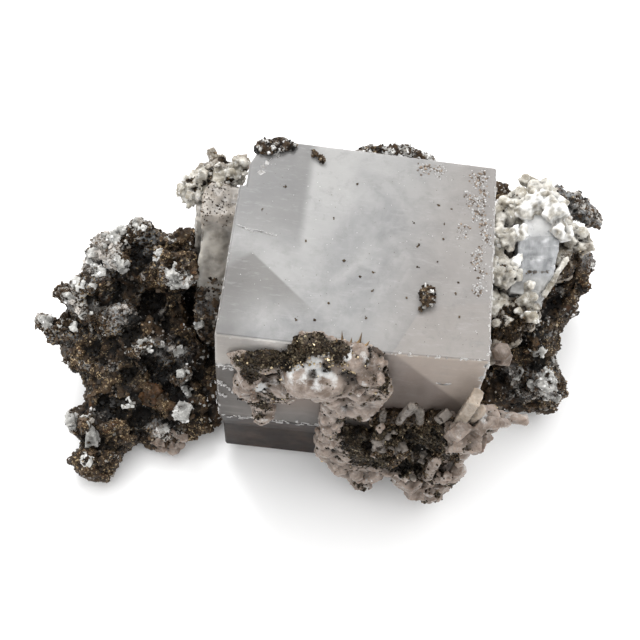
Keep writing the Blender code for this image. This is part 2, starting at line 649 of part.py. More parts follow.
def main():
    clear_scene()
    parts = make_collection("fluorite_cube_specimen")
    cutters = make_collection("cutters")
    cutters.hide_render = True
    fluorite = make_material("fluorite")
    stone = make_material("pyritic_rock")
    calcite = make_material("calcite")
    clear = make_material("clear_quartz")
    pyrite = make_material("pyrite")

    cube = make_cube(parts, cutters, fluorite)
    rock = make_rock(parts, cutters, stone)
    left_block = make_left_block(parts, cutters, calcite)
    clear_crystal = make_clear_crystal(parts, clear)
    rear = make_group("rear_white_crystals", REAR_CRYSTALS, parts, calcite, REAR_SKIN)
    right = make_group("right_white_crystals", RIGHT_CRYSTALS, parts, calcite, RIGHT_SKIN)
    front = make_group("front_crystal_crust", FRONT_CRUST, parts, calcite, FRONT_SKIN)
    dig_pits(front, FRONT_PITS, cutters)
    add_crystals(front, FRONT_CRYSTALS, cutters)
    back = make_group("back_pyrite_crust", BACK_CRUST, parts, stone, BACK_SKIN)
    corner = make_group("corner_pyrite_crust", CORNER_CRUST, parts, stone, CORNER_SKIN)
    make_pyrite("small_pyrite_cluster", SMALL_PYRITE_AT, SMALL_PYRITE, parts, cutters, pyrite)
    make_pyrite("large_pyrite_cluster", LARGE_PYRITE_AT, LARGE_PYRITE, parts, cutters, pyrite)

    # Each later growth makes room for what it grew around.
    order = [cube, left_block, clear_crystal, rear, right, front, back, corner]
    for place, made in enumerate(order):
        for other in order[:place]:
            if near(made, other):
                boolean(made, swollen(other, cutters), "DIFFERENCE")
    for other in order:
        if near(rock, other):
            boolean(rock, swollen(other, cutters), "DIFFERENCE")
    for leftover in list(cutters.objects):
        bpy.data.objects.remove(leftover, do_unlink=True)
    stand_on_origin(parts)


def near(first, second):
    """Whether two boxes come within the gap of each other."""
    low_a, high_a = box_of(first)
    low_b, high_b = box_of(second)
    return all(low_a[i] - GAP * MM < high_b[i] and low_b[i] - GAP * MM < high_a[i] for i in range(3))


def box_of(made):
    corners = [made.matrix_world @ Vector(corner) for corner in made.bound_box]
    low = Vector([min(corner[i] for corner in corners) for i in range(3)])
    high = Vector([max(corner[i] for corner in corners) for i in range(3)])
    return low, high


def stand_on_origin(parts):
    """Hangs every piece on one empty that puts the middle of the specimen's footprint at the origin."""
    bpy.context.view_layer.update()
    boxes = [box_of(made) for made in parts.objects]
    low = [min(box[0][i] for box in boxes) for i in range(3)]
    high = [max(box[1][i] for box in boxes) for i in range(3)]
    specimen = bpy.data.objects.new("specimen", None)
    specimen.location = (-(low[0] + high[0]) / 2, -(low[1] + high[1]) / 2, -low[2])
    pieces = list(parts.objects)
    parts.objects.link(specimen)
    for made in pieces:
        made.parent = specimen


main()
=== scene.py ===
# %% [markdown]
# # A fluorite cube on its matrix
# A milky fluorite cube stands on dark ore rock, and pyrite, calcite and quartz have grown over both. The
# plain solids are loaded first. Each is then dressed: a copy is meshed finely and roughened, and crystals
# and grains of real geometry are stood on it. It could be sculpted by hand, but a script can be measured,
# changed and run again.

import json
import math
import random

import bmesh
import bpy
import numpy as np
from mathutils import Matrix, Vector, noise
from mathutils.bvhtree import BVHTree

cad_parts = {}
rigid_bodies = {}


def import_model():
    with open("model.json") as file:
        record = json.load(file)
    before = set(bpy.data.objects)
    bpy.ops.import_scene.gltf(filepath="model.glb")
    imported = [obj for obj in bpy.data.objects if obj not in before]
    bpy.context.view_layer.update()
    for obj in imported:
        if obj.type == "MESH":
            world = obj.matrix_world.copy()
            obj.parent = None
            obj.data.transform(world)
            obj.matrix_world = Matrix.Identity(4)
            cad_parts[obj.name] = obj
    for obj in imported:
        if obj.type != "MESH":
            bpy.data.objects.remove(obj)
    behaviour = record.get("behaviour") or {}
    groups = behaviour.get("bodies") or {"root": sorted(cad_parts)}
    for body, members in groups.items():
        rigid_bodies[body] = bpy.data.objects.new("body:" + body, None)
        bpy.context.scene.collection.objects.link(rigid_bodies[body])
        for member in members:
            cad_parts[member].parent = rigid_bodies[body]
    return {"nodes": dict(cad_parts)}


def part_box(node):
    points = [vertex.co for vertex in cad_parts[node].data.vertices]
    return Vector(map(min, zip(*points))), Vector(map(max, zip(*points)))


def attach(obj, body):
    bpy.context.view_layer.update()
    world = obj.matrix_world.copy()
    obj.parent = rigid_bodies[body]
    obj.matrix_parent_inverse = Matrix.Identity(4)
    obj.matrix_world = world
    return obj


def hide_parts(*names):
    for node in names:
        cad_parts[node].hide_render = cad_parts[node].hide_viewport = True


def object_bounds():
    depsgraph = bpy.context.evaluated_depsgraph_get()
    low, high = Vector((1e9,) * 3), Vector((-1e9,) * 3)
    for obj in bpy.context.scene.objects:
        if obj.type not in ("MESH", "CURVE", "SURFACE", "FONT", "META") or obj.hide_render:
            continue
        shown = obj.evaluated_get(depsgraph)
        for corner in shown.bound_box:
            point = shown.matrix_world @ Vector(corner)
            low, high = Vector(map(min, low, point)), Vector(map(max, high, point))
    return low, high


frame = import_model()
BOX_LOW, BOX_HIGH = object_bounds()
MM = 0.001
scene = bpy.context.scene
print("nodes:", ", ".join(sorted(frame["nodes"])))
print("box in mm:", [round(side / MM, 1) for side in BOX_HIGH - BOX_LOW])

# %% [markdown]
# A rock has no straight side to measure from, but the cube has. So every place below is in millimetres
# from the middle of the cube's footprint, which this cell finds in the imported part. Measuring from the
# part's own origin would work too, but then each place would move whenever the rock's outline does.

# %% Find the middle of the cube
cube_low, cube_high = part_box("fluorite_cube")
FRONT_TO_MIDDLE = 23.3 * MM
CENTRE = Vector(((cube_low.x + cube_high.x) / 2, cube_low.y + FRONT_TO_MIDDLE, 0))
CUBE_TOP = cube_high.z / MM
HALF_WIDTH = (cube_high.x - cube_low.x) / MM / 2
HALF_DEPTH = 19.5
LAYER_TOP, LEDGE = 46.5, 27.5


def spot(x, y, z):
    """A place in the part, from millimetres about the cube's middle."""
    return CENTRE + Vector((x, y, z)) * MM


print("cube's middle:", tuple(round(c / MM, 2) for c in CENTRE), "top at", round(CUBE_TOP, 1))

# %% [markdown]
# Shaders and Geometry Nodes are both trees of nodes. Two short functions add a node to either kind and
# fill its sockets, with a number or with another node's output, which keeps the recipes below readable.

# %% Adding nodes
def feed(tree, socket, value):
    """Links another node's output to a socket, or writes a plain value in it."""
    if isinstance(value, bpy.types.NodeSocket):
        tree.links.new(value, socket)
    else:
        socket.default_value = (*value, 1) if socket.type == "RGBA" else value


def add_node(tree, kind, *values, operation=None, **named):
    """Adds a node with values for its first sockets, or for named ones, where _ stands for a space."""
    made = tree.nodes.new(kind)
    if operation:
        made.operation = operation
    for key, value in [*enumerate(values), *named.items()]:
        feed(tree, made.inputs[key if isinstance(key, int) else key.replace("_", " ")], value)
    return made


print("node helpers ready")

# %% [markdown]
# Minerals are patterned all the way through, so a finish reads places inside the stone, not a flat
# picture wrapped round it. This class holds one material and the few patterns that all of them need:
# noise, grains, soft steps, and planes that part the stone as its growth layers do. Sizes are in mm.

# %% A class for finishes
class Finish:
    """A node material whose patterns are sized in millimetres about the cube's middle."""

    def __init__(self, name, **settings):
        self.material = bpy.data.materials.new(name)
        self.material.use_nodes = True
        self.tree = self.material.node_tree
        self.shader = self.tree.nodes["Principled BSDF"]
        inside = self.node("ShaderNodeTexCoord").outputs["Object"]
        centred = self.node("ShaderNodeMapping", Vector=inside, Location=-CENTRE / MM, Scale=(1 / MM,) * 3)
        self.place = centred.outputs["Vector"]
        self.set(**settings)

    def node(self, kind, *values, **named):
        return add_node(self.tree, kind, *values, **named)

    def set(self, **sockets):
        for name, value in sockets.items():
            feed(self.tree, self.shader.inputs[name.replace("_", " ")], value)

    def noise(self, size, detail=4, rough=0.6, warp=0, stretch=None):
        place = self.place
        if stretch:
            place = self.node("ShaderNodeMapping", Vector=place, Scale=stretch).outputs["Vector"]
        return self.node("ShaderNodeTexNoise", Vector=place, Scale=1 / size, Detail=detail,
                         Roughness=rough, Distortion=warp).outputs["Fac"]

    def grains(self, size):
        """A number of its own for every grain of this size."""
        cells = self.node("ShaderNodeTexVoronoi", Vector=self.place, Scale=1 / size)
        return self.node("ShaderNodeSeparateColor", Color=cells.outputs["Color"]).outputs["Red"]

    def attribute(self, name):
        made = self.node("ShaderNodeAttribute")
        made.attribute_name = name
        return made.outputs["Fac"]

    def height(self):
        return self.node("ShaderNodeSeparateXYZ", self.place).outputs["Z"]

    def fade(self, value, low, high):
        """A soft step: 0 below low and 1 above high."""
        made = self.node("ShaderNodeMapRange", Value=value, From_Min=low, From_Max=high)
        made.interpolation_type = "SMOOTHSTEP"
        return made.outputs["Result"]

    def maths(self, operation, first, second):
        return self.node("ShaderNodeMath", first, second, operation=operation).outputs["Value"]

    def times(self, first, second):
        return self.maths("MULTIPLY", first, second)

    def plus(self, first, second):
        return self.maths("ADD", first, second)

    def mix(self, share, first, second, blend="MIX"):
        made = self.node("ShaderNodeMix")
        made.data_type, made.blend_type = "RGBA", blend
        for socket, value in ((0, share), (6, first), (7, second)):
            feed(self.tree, made.inputs[socket], value)
        return made.outputs[2]

    def tone(self, colour, share, amount, other):
        """Brings another colour in where share is high, as far as amount."""
        return self.mix(self.times(share, amount), colour, other)

    def shade(self, colour, by):
        return self.mix(1, colour, by, "MULTIPLY")

    def beyond(self, point, direction, soft):
        """0 on one side of a plane through the stone and 1 on the other, soft millimetres apart."""
        away = self.node("ShaderNodeVectorMath", self.place, point, operation="SUBTRACT")
        along = self.node("ShaderNodeVectorMath", away.outputs["Vector"], Vector(direction).normalized(),
                          operation="DOT_PRODUCT")
        return self.fade(along.outputs["Value"], -soft / 2, soft / 2)

    def region(self, *planes):
        """1 where a place is beyond every one of these planes."""
        share = 1
        for plane in planes:
            share = self.times(self.beyond(*plane), share)
        return share

    def bump(self, height, depth, strength):
        made = self.node("ShaderNodeBump", Height=height, Distance=depth * MM, Strength=strength)
        self.set(Normal=made.outputs["Normal"])


print("finish class ready")

# %% [markdown]
# Fluorite is glassy, but this crystal is milky: light goes a few millimetres in and comes out soft. It
# could be plain glass with a fog inside, which is slow and noisy, so it is part transmission and part
# scattering below the surface. Soft noise gives its clouds. Its veils have straight borders, because they
# were once the crystal's faces, and planes through the stone give those.

# %% The milky fluorite
FRONT_FACE = (0, -19, 0)
TO_FRONT = (0, -1, 0)
# Each zone: its strength, its colour, and the planes that bound it (a point, a direction, how soft).
CLOUDY_ZONES = [
    (0.5, (0.465, 0.460, 0.450),  # the pale cloud
     ((-10.8, 8, 0), (1, 0, 0), 2.2), ((-4, 2, 0), (-1, 0.4, 0), 14), ((-9, -4, 0), (0.2, 1, 0), 6)),
    (0.72, (0.170, 0.166, 0.162),  # the grey zone left of it
     ((-10.8, 3, 0), (-1, 0.02, 0), 2), ((-16, 0, 0), (0, 1, 0), 10)),
    (0.74, (0.150, 0.141, 0.131),  # the triangle by the left edge
     ((-18.9, -3.5, 0), (-0.65, -0.76, 0), 0.5), ((-18.9, -3.5, 0), (0.67, -0.74, 0), 1.2),
     ((-17, -13, 0), (-0.1, 1, 0), 9)),
    (0.6, (0.125, 0.118, 0.112),  # the left edge itself
     ((-18.5, 0, 0), (-1, 0, 0), 7), ((0, -3, 0), TO_FRONT, 5)),
    (0.4, (0.345, 0.315, 0.290),  # the wedge at the front right
     ((10.7, -11.6, 0), (0.9, -0.43, 0), 0.4), ((11, -11, 0), (0.25, -1, 0), 1.6)),
    (0.5, (0.19, 0.187, 0.19),  # the dark slit along the wedge
     ((10.7, -11.6, 0), (-0.9, 0.43, 0), 0.3), ((10.7, -11.6, 0), (0.9, -0.43, 0), 4.5),
     ((9, -10, 0), (0.25, -1, 0), 5)),
]
fluorite = Finish("fluorite_milky", IOR=1.434, Specular_IOR_Level=0.15, Subsurface_Weight=0.45,
                  Subsurface_Scale=1.8 * MM, Subsurface_Radius=(1, 1, 1.02))
f = fluorite
cloud = f.fade(f.noise(13, 5, 0.58, 0.5), 0.36, 0.64)
colour = f.mix(cloud, (0.272, 0.272, 0.274), (0.385, 0.381, 0.374))
wisps = f.fade(f.noise(5, 6, 0.62, 0.6, (1, 0.7, 0.5)), 0.42, 0.78)
colour = f.tone(colour, wisps, 0.65, (0.45, 0.446, 0.438))
colour = f.tone(colour, f.beyond((9, 0, 0), (1, -0.2, 0), 16), 0.6, (0.318, 0.290, 0.268))
for strength, other, *planes in CLOUDY_ZONES:
    colour = f.tone(colour, f.region(*planes), strength, other)
scuffs = f.fade(f.noise(1.2, 6, 0.8, 0, (0.4, 1.6, 1)), 0.5, 0.8)
colour = f.tone(colour, scuffs, 0.45, (0.52, 0.515, 0.51))
mottle = f.fade(f.noise(2.5, 6, 0.75, 0.2), 0.5, 0.7)
top_colour = f.tone(colour, mottle, 0.3, (0.20, 0.197, 0.194))
print("clouds:", len(CLOUDY_ZONES), "zones with straight borders")

# %% [markdown]
# Seen from the front the crystal darkens in steps, since less light reaches its lower layers: this is painted
# shade, once below the first growth layer, and again below the ledge, where it is mixed with the brown of
# the rock seen through the crystal. The strip above that layer and a facet at the right get painted light.
# The steps multiply the colour by height, and only on the front; on the sides painted shade darkens the
# crystal gently towards its foot.

# %% The darker front
height = f.height()
front = f.beyond((0, -19.2, 0), TO_FRONT, 0.6)
plane_of_front = (FRONT_FACE, TO_FRONT, 0.4)
lit_facet = f.region(((8.1, 0, 53.4), (0.74, 0, 0.67), 0.9), plane_of_front, ((0, 0, 40), (0, 0, 1), 8))
# Painted light and shade on the front: the strip above the first growth layer is lit, the face below it
# shaded.
painted_light_by_height = f.mix(f.fade(height, LAYER_TOP - 0.5, LAYER_TOP + 0.5), (0.50, 0.46, 0.43), (2.05, 1.96, 1.87))
right_share = f.region(((4, 0, 0), (1, 0, 0), 6), plane_of_front)
right_tone = f.mix(f.fade(height, 36, 56), (0.74, 0.645, 0.60), (0.98, 0.88, 0.83))
painted_light_by_height = f.mix(right_share, painted_light_by_height, right_tone)
# A painted highlight on the slightly tilted facet at the right.
painted_light_by_height = f.mix(lit_facet, painted_light_by_height, (1.34, 1.22, 1.13))
# On the sides, painted shade at the foot and painted light towards the top.
side_tone = f.mix(f.fade(height, 4, 50), (0.95, 0.90, 0.86), (1.30, 1.28, 1.26))
painted_light_by_height = f.mix(front, side_tone, painted_light_by_height)
below_top = f.fade(height, 54.45, 54.2)
colour = f.mix(below_top, top_colour, f.shade(top_colour, painted_light_by_height))
wavy = f.plus(height, f.times(f.noise(6, 2, 0.5), 1.6))
above_ledge = f.maths("MAXIMUM", f.fade(wavy, LEDGE + 0.3, LEDGE + 1.1), f.maths("SUBTRACT", 1, front))
# Below the ledge the front takes painted shade, mixed with the brown of the rock seen through the crystal.
brown_and_shade = f.mix(f.fade(f.noise(7, 4, 0.6), 0.42, 0.66), (0.062, 0.034, 0.023), (0.20, 0.125, 0.09))
colour = f.shade(colour, f.mix(above_ledge, brown_and_shade, (1, 1, 1)))
streaks = f.times(f.fade(f.noise(3, 4, 0.6, 0.2, (0.25, 1, 3)), 0.52, 0.8), below_top)
colour = f.tone(colour, f.times(streaks, above_ledge), 0.35, (0.30, 0.275, 0.26))
warm_patch = f.region(((-15, 0, 0), (1, 0, 0), 5), ((-2.5, 0, 0), (-1, 0, 0), 3), ((0, 0, 33), (0, 0, 1), 8),
                      plane_of_front, ((0, 0, 47), (0, 0, -1), 3))
colour = f.tone(colour, warm_patch, 0.8, (0.25, 0.198, 0.168))
rough = f.plus(f.plus(f.times(below_top, 0.2), 0.1), f.times(f.noise(3, 4, 0.7), 0.24))
f.set(Base_Color=colour, Roughness=rough, Transmission_Weight=f.plus(0.02, f.times(above_ledge, 0.26)))
f.bump(f.noise(1.6, 6, 0.6, 0.4, (1, 1, 2.5)), 0.04, 0.3)
print("fluorite finish:", len(f.tree.nodes), "nodes")

# %% [markdown]
# Where the cube's edges are knocked, the break is rough and white, like frosted glass. It gets a finish of
# its own, so that the breaks stay white however dark the crystal behind them is.

# %% Frosted breaks
frosted = Finish("fluorite_fracture", IOR=1.434, Roughness=0.45, Transmission_Weight=0.15,
                 Subsurface_Weight=0.6, Subsurface_Scale=1 * MM, Subsurface_Radius=(1, 1, 1))
frosted.set(Base_Color=frosted.mix(frosted.noise(0.7, 3), (0.40, 0.385, 0.37), (0.78, 0.77, 0.76)))
frosted.bump(frosted.noise(0.3, 4, 0.7), 0.05, 0.6)
print("fracture finish:", len(frosted.tree.nodes), "nodes")

# %% [markdown]
# The rock is nearly black, with brown rust from the pyrite. Its finish is steered by numbers painted on
# the mesh: relief is low in hollows, pale is high where calcite stands thick, and gold and grey are high
# where pyrite and fine quartz do. Noise alone would put them anywhere; painted numbers also tell the
# grains where to stand, so colour and grains agree.

# %% The dark matrix
def by_relief(f, colour, low=0.06, high=1.5):
    """Paints shade into hollows and a highlight onto crests, from the painted relief."""
    relief = f.attribute("relief")
    colour = f.shade(colour, f.mix(f.fade(relief, 0.15, 0.6), (low,) * 3, (1, 1, 1)))
    return f.shade(colour, f.mix(f.fade(relief, 0.5, 0.9), (1, 1, 1), (high,) * 3))


def speckled(f, name, size=0.35, soft=0.1):
    """A painted number turned into specks: sparse where it is low, closed where it is high."""
    grainy = f.maths("SUBTRACT", f.times(f.noise(size, 5, 0.8), 2.2), 1.1)
    return f.fade(f.plus(f.attribute(name), grainy), 0.5 - soft, 0.5 + soft)


matrix_finish = Finish("dark_matrix", Roughness=0.6, Specular_IOR_Level=0.2)
f = matrix_finish
ground = f.mix(f.fade(f.noise(3, 6, 0.7), 0.35, 0.7), (0.008, 0.005, 0.003), (0.056, 0.034, 0.017))
ground = f.mix(f.fade(f.noise(1, 5, 0.75), 0.54, 0.75), ground, (0.10, 0.09, 0.08))
rust = f.fade(f.noise(2.2, 3, 0.6, 0.5), 0.55, 0.72)
ground = f.tone(ground, rust, 0.55, (0.085, 0.034, 0.011))
druse = f.times(f.fade(f.attribute("grey"), 0.1, 0.9), f.fade(f.noise(0.9, 5, 0.75), 0.36, 0.56))
ground = f.tone(ground, druse, 0.85, (0.185, 0.192, 0.196))
pale_grains = f.fade(f.plus(f.attribute("pale"), f.times(f.noise(0.8, 4, 0.7), 0.6)), 0.8, 1.1)
ground = f.mix(pale_grains, ground, (0.28, 0.272, 0.258))
brass = f.times(f.fade(f.grains(0.25), 0.82, 0.86), f.fade(f.attribute("gold"), 0.3, 0.8))
ground = f.mix(brass, ground, (0.28, 0.215, 0.13))
# Painted shade in the hollows and a painted highlight on the crests.
f.set(Base_Color=by_relief(f, ground, 0.1), Metallic=f.times(brass, 0.8))
f.bump(f.noise(0.4, 5, 0.75), 0.2, 0.8)
print("matrix finish:", len(f.tree.nodes), "nodes")

# %% [markdown]
# Pyrite is a metal-like mineral, here dulled by tarnish. Each grain carries a tint of its own, from 0 to
# 1, and the finish reads it: most grains stay dark, and those with the highest tints get a painted glint, a
# bright colour that stands in for the crystals that face the light. A material for each tint would do the
# same, with far more materials.

# %% Dark grains and bright ones
def pyrite_finish(name, body, painted_glint_from, painted_glint):
    """Dark pyrite: grains whose tint is above the threshold get a painted glint colour."""
    f = Finish(name, Metallic=0.75, Roughness=0.38)
    tint = f.attribute("tint")
    dark = f.mix(f.fade(tint, 0, 0.72), (0.007, 0.0045, 0.003), body)
    # Painted glints on the grains with the highest tint, painted shade in hollows and highlight on crests.
    f.set(Base_Color=by_relief(f, f.mix(f.fade(tint, painted_glint_from, 1), dark, painted_glint), 0.2, 1.3))
    return f


pyrite = pyrite_finish("pyrite_dark", (0.105, 0.070, 0.038), 0.8, (0.36, 0.30, 0.215))
sooty_pyrite = pyrite_finish("pyrite_sooty", (0.060, 0.047, 0.029), 0.93, (0.26, 0.22, 0.15))

brassy = Finish("pyrite_bright", Metallic=0.85, Roughness=0.3)
shine = brassy.fade(brassy.attribute("tint"), 0.1, 1)
brassy.set(Base_Color=brassy.mix(shine, (0.07, 0.045, 0.022), (0.76, 0.62, 0.40)))

crumb = Finish("matrix_crumb", Roughness=0.5, Specular_IOR_Level=0.25)
tint = crumb.attribute("tint")
body = crumb.mix(crumb.fade(tint, 0.1, 0.75), (0.008, 0.005, 0.003), (0.060, 0.039, 0.023))
# Painted shade in the hollows and a painted highlight on the crests.
crumb.set(Base_Color=by_relief(crumb, crumb.mix(crumb.fade(tint, 0.8, 1), body, (0.19, 0.178, 0.16))))

tan_dust = Finish("tan_dust", Roughness=0.6)
tan_share = tan_dust.fade(tan_dust.grains(0.5), 0.2, 1)
tan_dust.set(Base_Color=tan_dust.mix(tan_share, (0.06, 0.038, 0.022), (0.27, 0.205, 0.150)))
print("pyrite, crumb and dust finishes ready")

# %% [markdown]
# Calcite is the white to blush mineral, here cloudy inside: scattering below the surface lets light pass
# its thin edges. Six finishes differ in colour and in how much painted shade and highlight they take from
# the relief, so one function makes them all. Pyrite has settled on it as soot does, and the painted gold
# gives these dark specks.

# %% Cloudy calcite
def milky(name, low, high, clear, glow, depth=0.3, lift=1.3, clouds=0.5, bump=0.12):
    """A cloudy crystal finish from a dark, a light and a clear colour; clouds is how strong they mix, depth
    and lift how strong the painted shade in hollows and painted highlight on crests are.
    """
    f = Finish(name, Subsurface_Weight=0.5, Subsurface_Scale=1 * MM, Subsurface_Radius=glow, IOR=1.5,
               Specular_IOR_Level=0.12)
    body = f.mix(f.fade(f.noise(3, 6, 0.66, 0.4), 0.36, 0.64), low, high)
    body = f.tone(body, f.fade(f.noise(1.4, 6, 0.72, 0.5), 0.5, 0.7), clouds, clear)
    body = f.tone(body, f.fade(f.noise(1.1, 6, 0.72, 0.3, (1, 1.3, 0.8)), 0.52, 0.7), clouds, low)
    body = f.mix(f.fade(f.attribute("tint"), 0.35, 1), body, clear)
    whitish = f.times(speckled(f, "white", 0.9, 0.42), f.fade(f.attribute("white"), 0, 0.3))
    body = f.tone(body, whitish, 0.85, (0.57, 0.575, 0.57))
    # Where grey is painted the body darkens; on the white crystals that grey is painted shade.
    body = f.tone(body, speckled(f, "grey", 1.2, 0.35), 0.8, f.shade(body, (0.42, 0.375, 0.34)))
    soot = f.mix(f.fade(f.noise(0.4, 4, 0.7), 0.4, 0.62), (0.005, 0.003, 0.002), (0.045, 0.029, 0.016))
    f.set(Base_Color=by_relief(f, f.mix(speckled(f, "gold"), body, soot), depth, lift),
          Roughness=f.plus(0.16, f.times(f.noise(0.8, 4, 0.7), 0.3)))
    f.bump(f.noise(0.5, 5, 0.7), bump, 0.7)
    return f


blush = milky("blush_calcite", (0.135, 0.103, 0.082), (0.285, 0.238, 0.206), (0.42, 0.39, 0.365),
              (1, 0.8, 0.7), 0.3, 1.25, 0.45, 0.08)
smoky = milky("smoky_calcite", (0.080, 0.070, 0.060), (0.195, 0.172, 0.152), (0.33, 0.305, 0.28),
              (1, 0.9, 0.8), 0.3, 1.3, 0.4, 0.06)
white = milky("white_calcite", (0.225, 0.203, 0.163), (0.51, 0.492, 0.452), (0.76, 0.755, 0.735),
              (1, 0.95, 0.88), 0.1, 1.35)
ice = milky("grey_calcite", (0.15, 0.147, 0.138), (0.44, 0.435, 0.415), (0.76, 0.75, 0.73),
            (1, 0.97, 0.93), 0.12, 1.45)
cream = milky("pale_calcite", (0.27, 0.225, 0.18), (0.40, 0.345, 0.29), (0.46, 0.42, 0.37),
              (1, 0.85, 0.72), 0.5, 1.2, 0.3, 0.06)
amber = milky("amber_calcite", (0.025, 0.013, 0.006), (0.085, 0.045, 0.022), (0.12, 0.075, 0.045),
              (1, 0.6, 0.4))
print("six calcite finishes ready")

# %% [markdown]
# The block of calcite left of the cube is beige and smooth. It is brown where it leaves the rock and pinkish
# on top; painted shade darkens the side that the cube shades, and a painted highlight lightens its outer
# edge. It could share the white crystals' finish, but its colours follow height and side, so it has its own.

# %% Beige block calcite
block_finish = Finish("beige_calcite", Roughness=0.35, Subsurface_Weight=0.45, Subsurface_Scale=1 * MM,
                      Subsurface_Radius=(1, 0.9, 0.8), IOR=1.55)
f = block_finish
body = f.mix(f.fade(f.noise(4, 5, 0.65), 0.35, 0.65), (0.170, 0.150, 0.128), (0.345, 0.319, 0.280))
height = f.height()
wavy = f.maths("SUBTRACT", f.plus(height, f.times(f.noise(3, 4, 0.6), 4)), 2)
top_share = f.times(f.fade(height, 39, 40.5), f.fade(f.noise(2, 5, 0.75), 0.3, 0.6))
body = f.mix(top_share, body, (0.265, 0.236, 0.204))
# Painted shade on the side beside the cube, and a painted highlight along the outer edge.
cube_shadow = f.times(f.beyond((-26.2, 8, 0), (1, 0.1, 0), 4), f.fade(height, 40, 37))
body = f.tone(body, cube_shadow, 0.5, (0.125, 0.108, 0.090))
lit_outer_edge = f.times(f.beyond((-29.3, 8, 0), (-1, 0.1, 0), 2.4), f.fade(height, 40, 38))
body = f.tone(body, lit_outer_edge, 0.6, (0.50, 0.48, 0.44))
body = f.mix(f.fade(wavy, 26.5, 30.5), (0.016, 0.011, 0.008), body)
# Painted shade in the hollows and a painted highlight on the crests.
f.set(Base_Color=by_relief(f, body, 0.4, 1.2))
f.bump(f.noise(0.8, 5, 0.6), 0.12, 0.5)
print("block finish:", len(f.tree.nodes), "nodes")

# %% [markdown]
# The one clear crystal lets light through, so its finish has the most transmission. Glass alone would show
# the dark rock behind it and little else, so scattering is mixed in. A white veil covers its far end, and
# fine flaws cross it.

# %% Clear quartz
quartz = Finish("clear_quartz", Roughness=0.12, IOR=1.46, Transmission_Weight=0.4, Subsurface_Weight=0.45,
                Subsurface_Scale=1.2 * MM, Subsurface_Radius=(1, 1, 1.03))
f = quartz
veil = f.times(f.beyond((33, 17.5, 37), (-0.15, 1, 0.1), 4), f.fade(f.noise(1.2, 5, 0.75), 0.2, 0.5))
haze = f.fade(f.noise(3, 5, 0.65, 0.2, (1.6, 0.5, 1)), 0.35, 0.65)
body = f.mix(haze, (0.28, 0.29, 0.302), (0.48, 0.49, 0.50))
body = f.tone(body, f.beyond((33, 9.5, 34), TO_FRONT, 3), 0.8, (0.46, 0.455, 0.435))
body = f.mix(veil, body, (0.80, 0.80, 0.79))
flaws = f.fade(f.noise(1.6, 5, 0.7, 0.3, (0.4, 1.6, 1)), 0.56, 0.68)
body = f.tone(body, flaws, 0.6, (0.70, 0.70, 0.69))
body = f.mix(f.fade(f.attribute("gold"), 0.4, 0.8), body, (0.05, 0.034, 0.018))
# Painted shade in the hollows and a painted highlight on the crests.
f.set(Base_Color=by_relief(f, body, 0.5, 1.2), Roughness=f.plus(0.1, f.times(veil, 0.4)))
f.bump(f.noise(0.9, 5, 0.6), 0.1, 0.5)
print("quartz finish:", len(f.tree.nodes), "nodes")

# %% [markdown]
# The stone's surface is lumpy at several sizes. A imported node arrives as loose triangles, so a copy of
# them is merged and meshed finely, and Displace modifiers then push its lumps in and out. Sculpting would
# do too, but a modifier's size and depth stay easy to change.

# %% Copies and lumps
def as_piece(bm, name):
    """Puts a bmesh in the scene as an object."""
    mesh = bpy.data.meshes.new(name)
    bm.to_mesh(mesh)
    bm.free()
    piece = bpy.data.objects.new(name, mesh)
    scene.collection.objects.link(piece)
    return piece


def fine(piece, voxel):
    """Adds a Remesh modifier with cells of this many mm."""
    step = piece.modifiers.new("fine", "REMESH")
    step.mode, step.voxel_size, step.use_smooth_shade = "VOXEL", voxel * MM, True


def copy_of(node, voxel=None):
    """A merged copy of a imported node, meshed finely if a voxel is given."""
    bm = bmesh.new()
    bm.from_mesh(frame["nodes"][node].data)
    bmesh.ops.remove_doubles(bm, verts=bm.verts, dist=0.001 * MM)
    piece = as_piece(bm, node + "_dressed")
    if voxel:
        fine(piece, voxel)
    return piece


def lumps(piece, kind, size, depth, level=0.5):
    """Adds a Displace modifier with rounded cells or clouds of this size, in mm."""
    texture = bpy.data.textures.new(f"{piece.name}_{kind.lower()}_{size}", kind)
    texture.noise_scale = size * MM
    if kind == "VORONOI":
        texture.distance_metric = "DISTANCE_SQUARED"
    else:
        texture.noise_depth = 3
    push = piece.modifiers.new(f"{kind.lower()}_{size}", "DISPLACE")
    push.texture, push.texture_coords = texture, "LOCAL"
    push.strength, push.mid_level = depth * MM, level


print("copy helpers ready")

# %% [markdown]
# Once its modifiers are set, a piece is fixed: they are applied, and it is kept inside the imported part's
# own box, so that the looks never change the size. It then gets its finish, is attached to the body it
# rides on, and hides the imported parts it stands for. The modifiers could stay live, but numbers can only
# be painted on real points.

# %% Fixing a piece and handing it in
def read(piece, what):
    """A row of three numbers for every point: co is its place, normal its direction."""
    numbers = np.empty(len(piece.data.vertices) * 3, np.float32)
    piece.data.vertices.foreach_get(what, numbers)
    return numbers.reshape(-1, 3)


def fixed(piece, smooth=True):
    """Applies a piece's modifiers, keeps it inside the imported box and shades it."""
    bpy.context.view_layer.update()
    mesh = bpy.data.meshes.new_from_object(piece.evaluated_get(bpy.context.evaluated_depsgraph_get()))
    piece.modifiers.clear()
    old, piece.data = piece.data, mesh
    bpy.data.meshes.remove(old)
    mesh.name = piece.name
    low, high = np.array(BOX_LOW, np.float32), np.array(BOX_HIGH, np.float32)
    mesh.vertices.foreach_set("co", np.clip(read(piece, "co"), low, high).ravel())
    mesh.polygons.foreach_set("use_smooth", [smooth] * len(mesh.polygons))
    mesh.update()
    print(f"{piece.name}: {sum(len(face.vertices) - 2 for face in mesh.polygons)} triangles")
    return piece


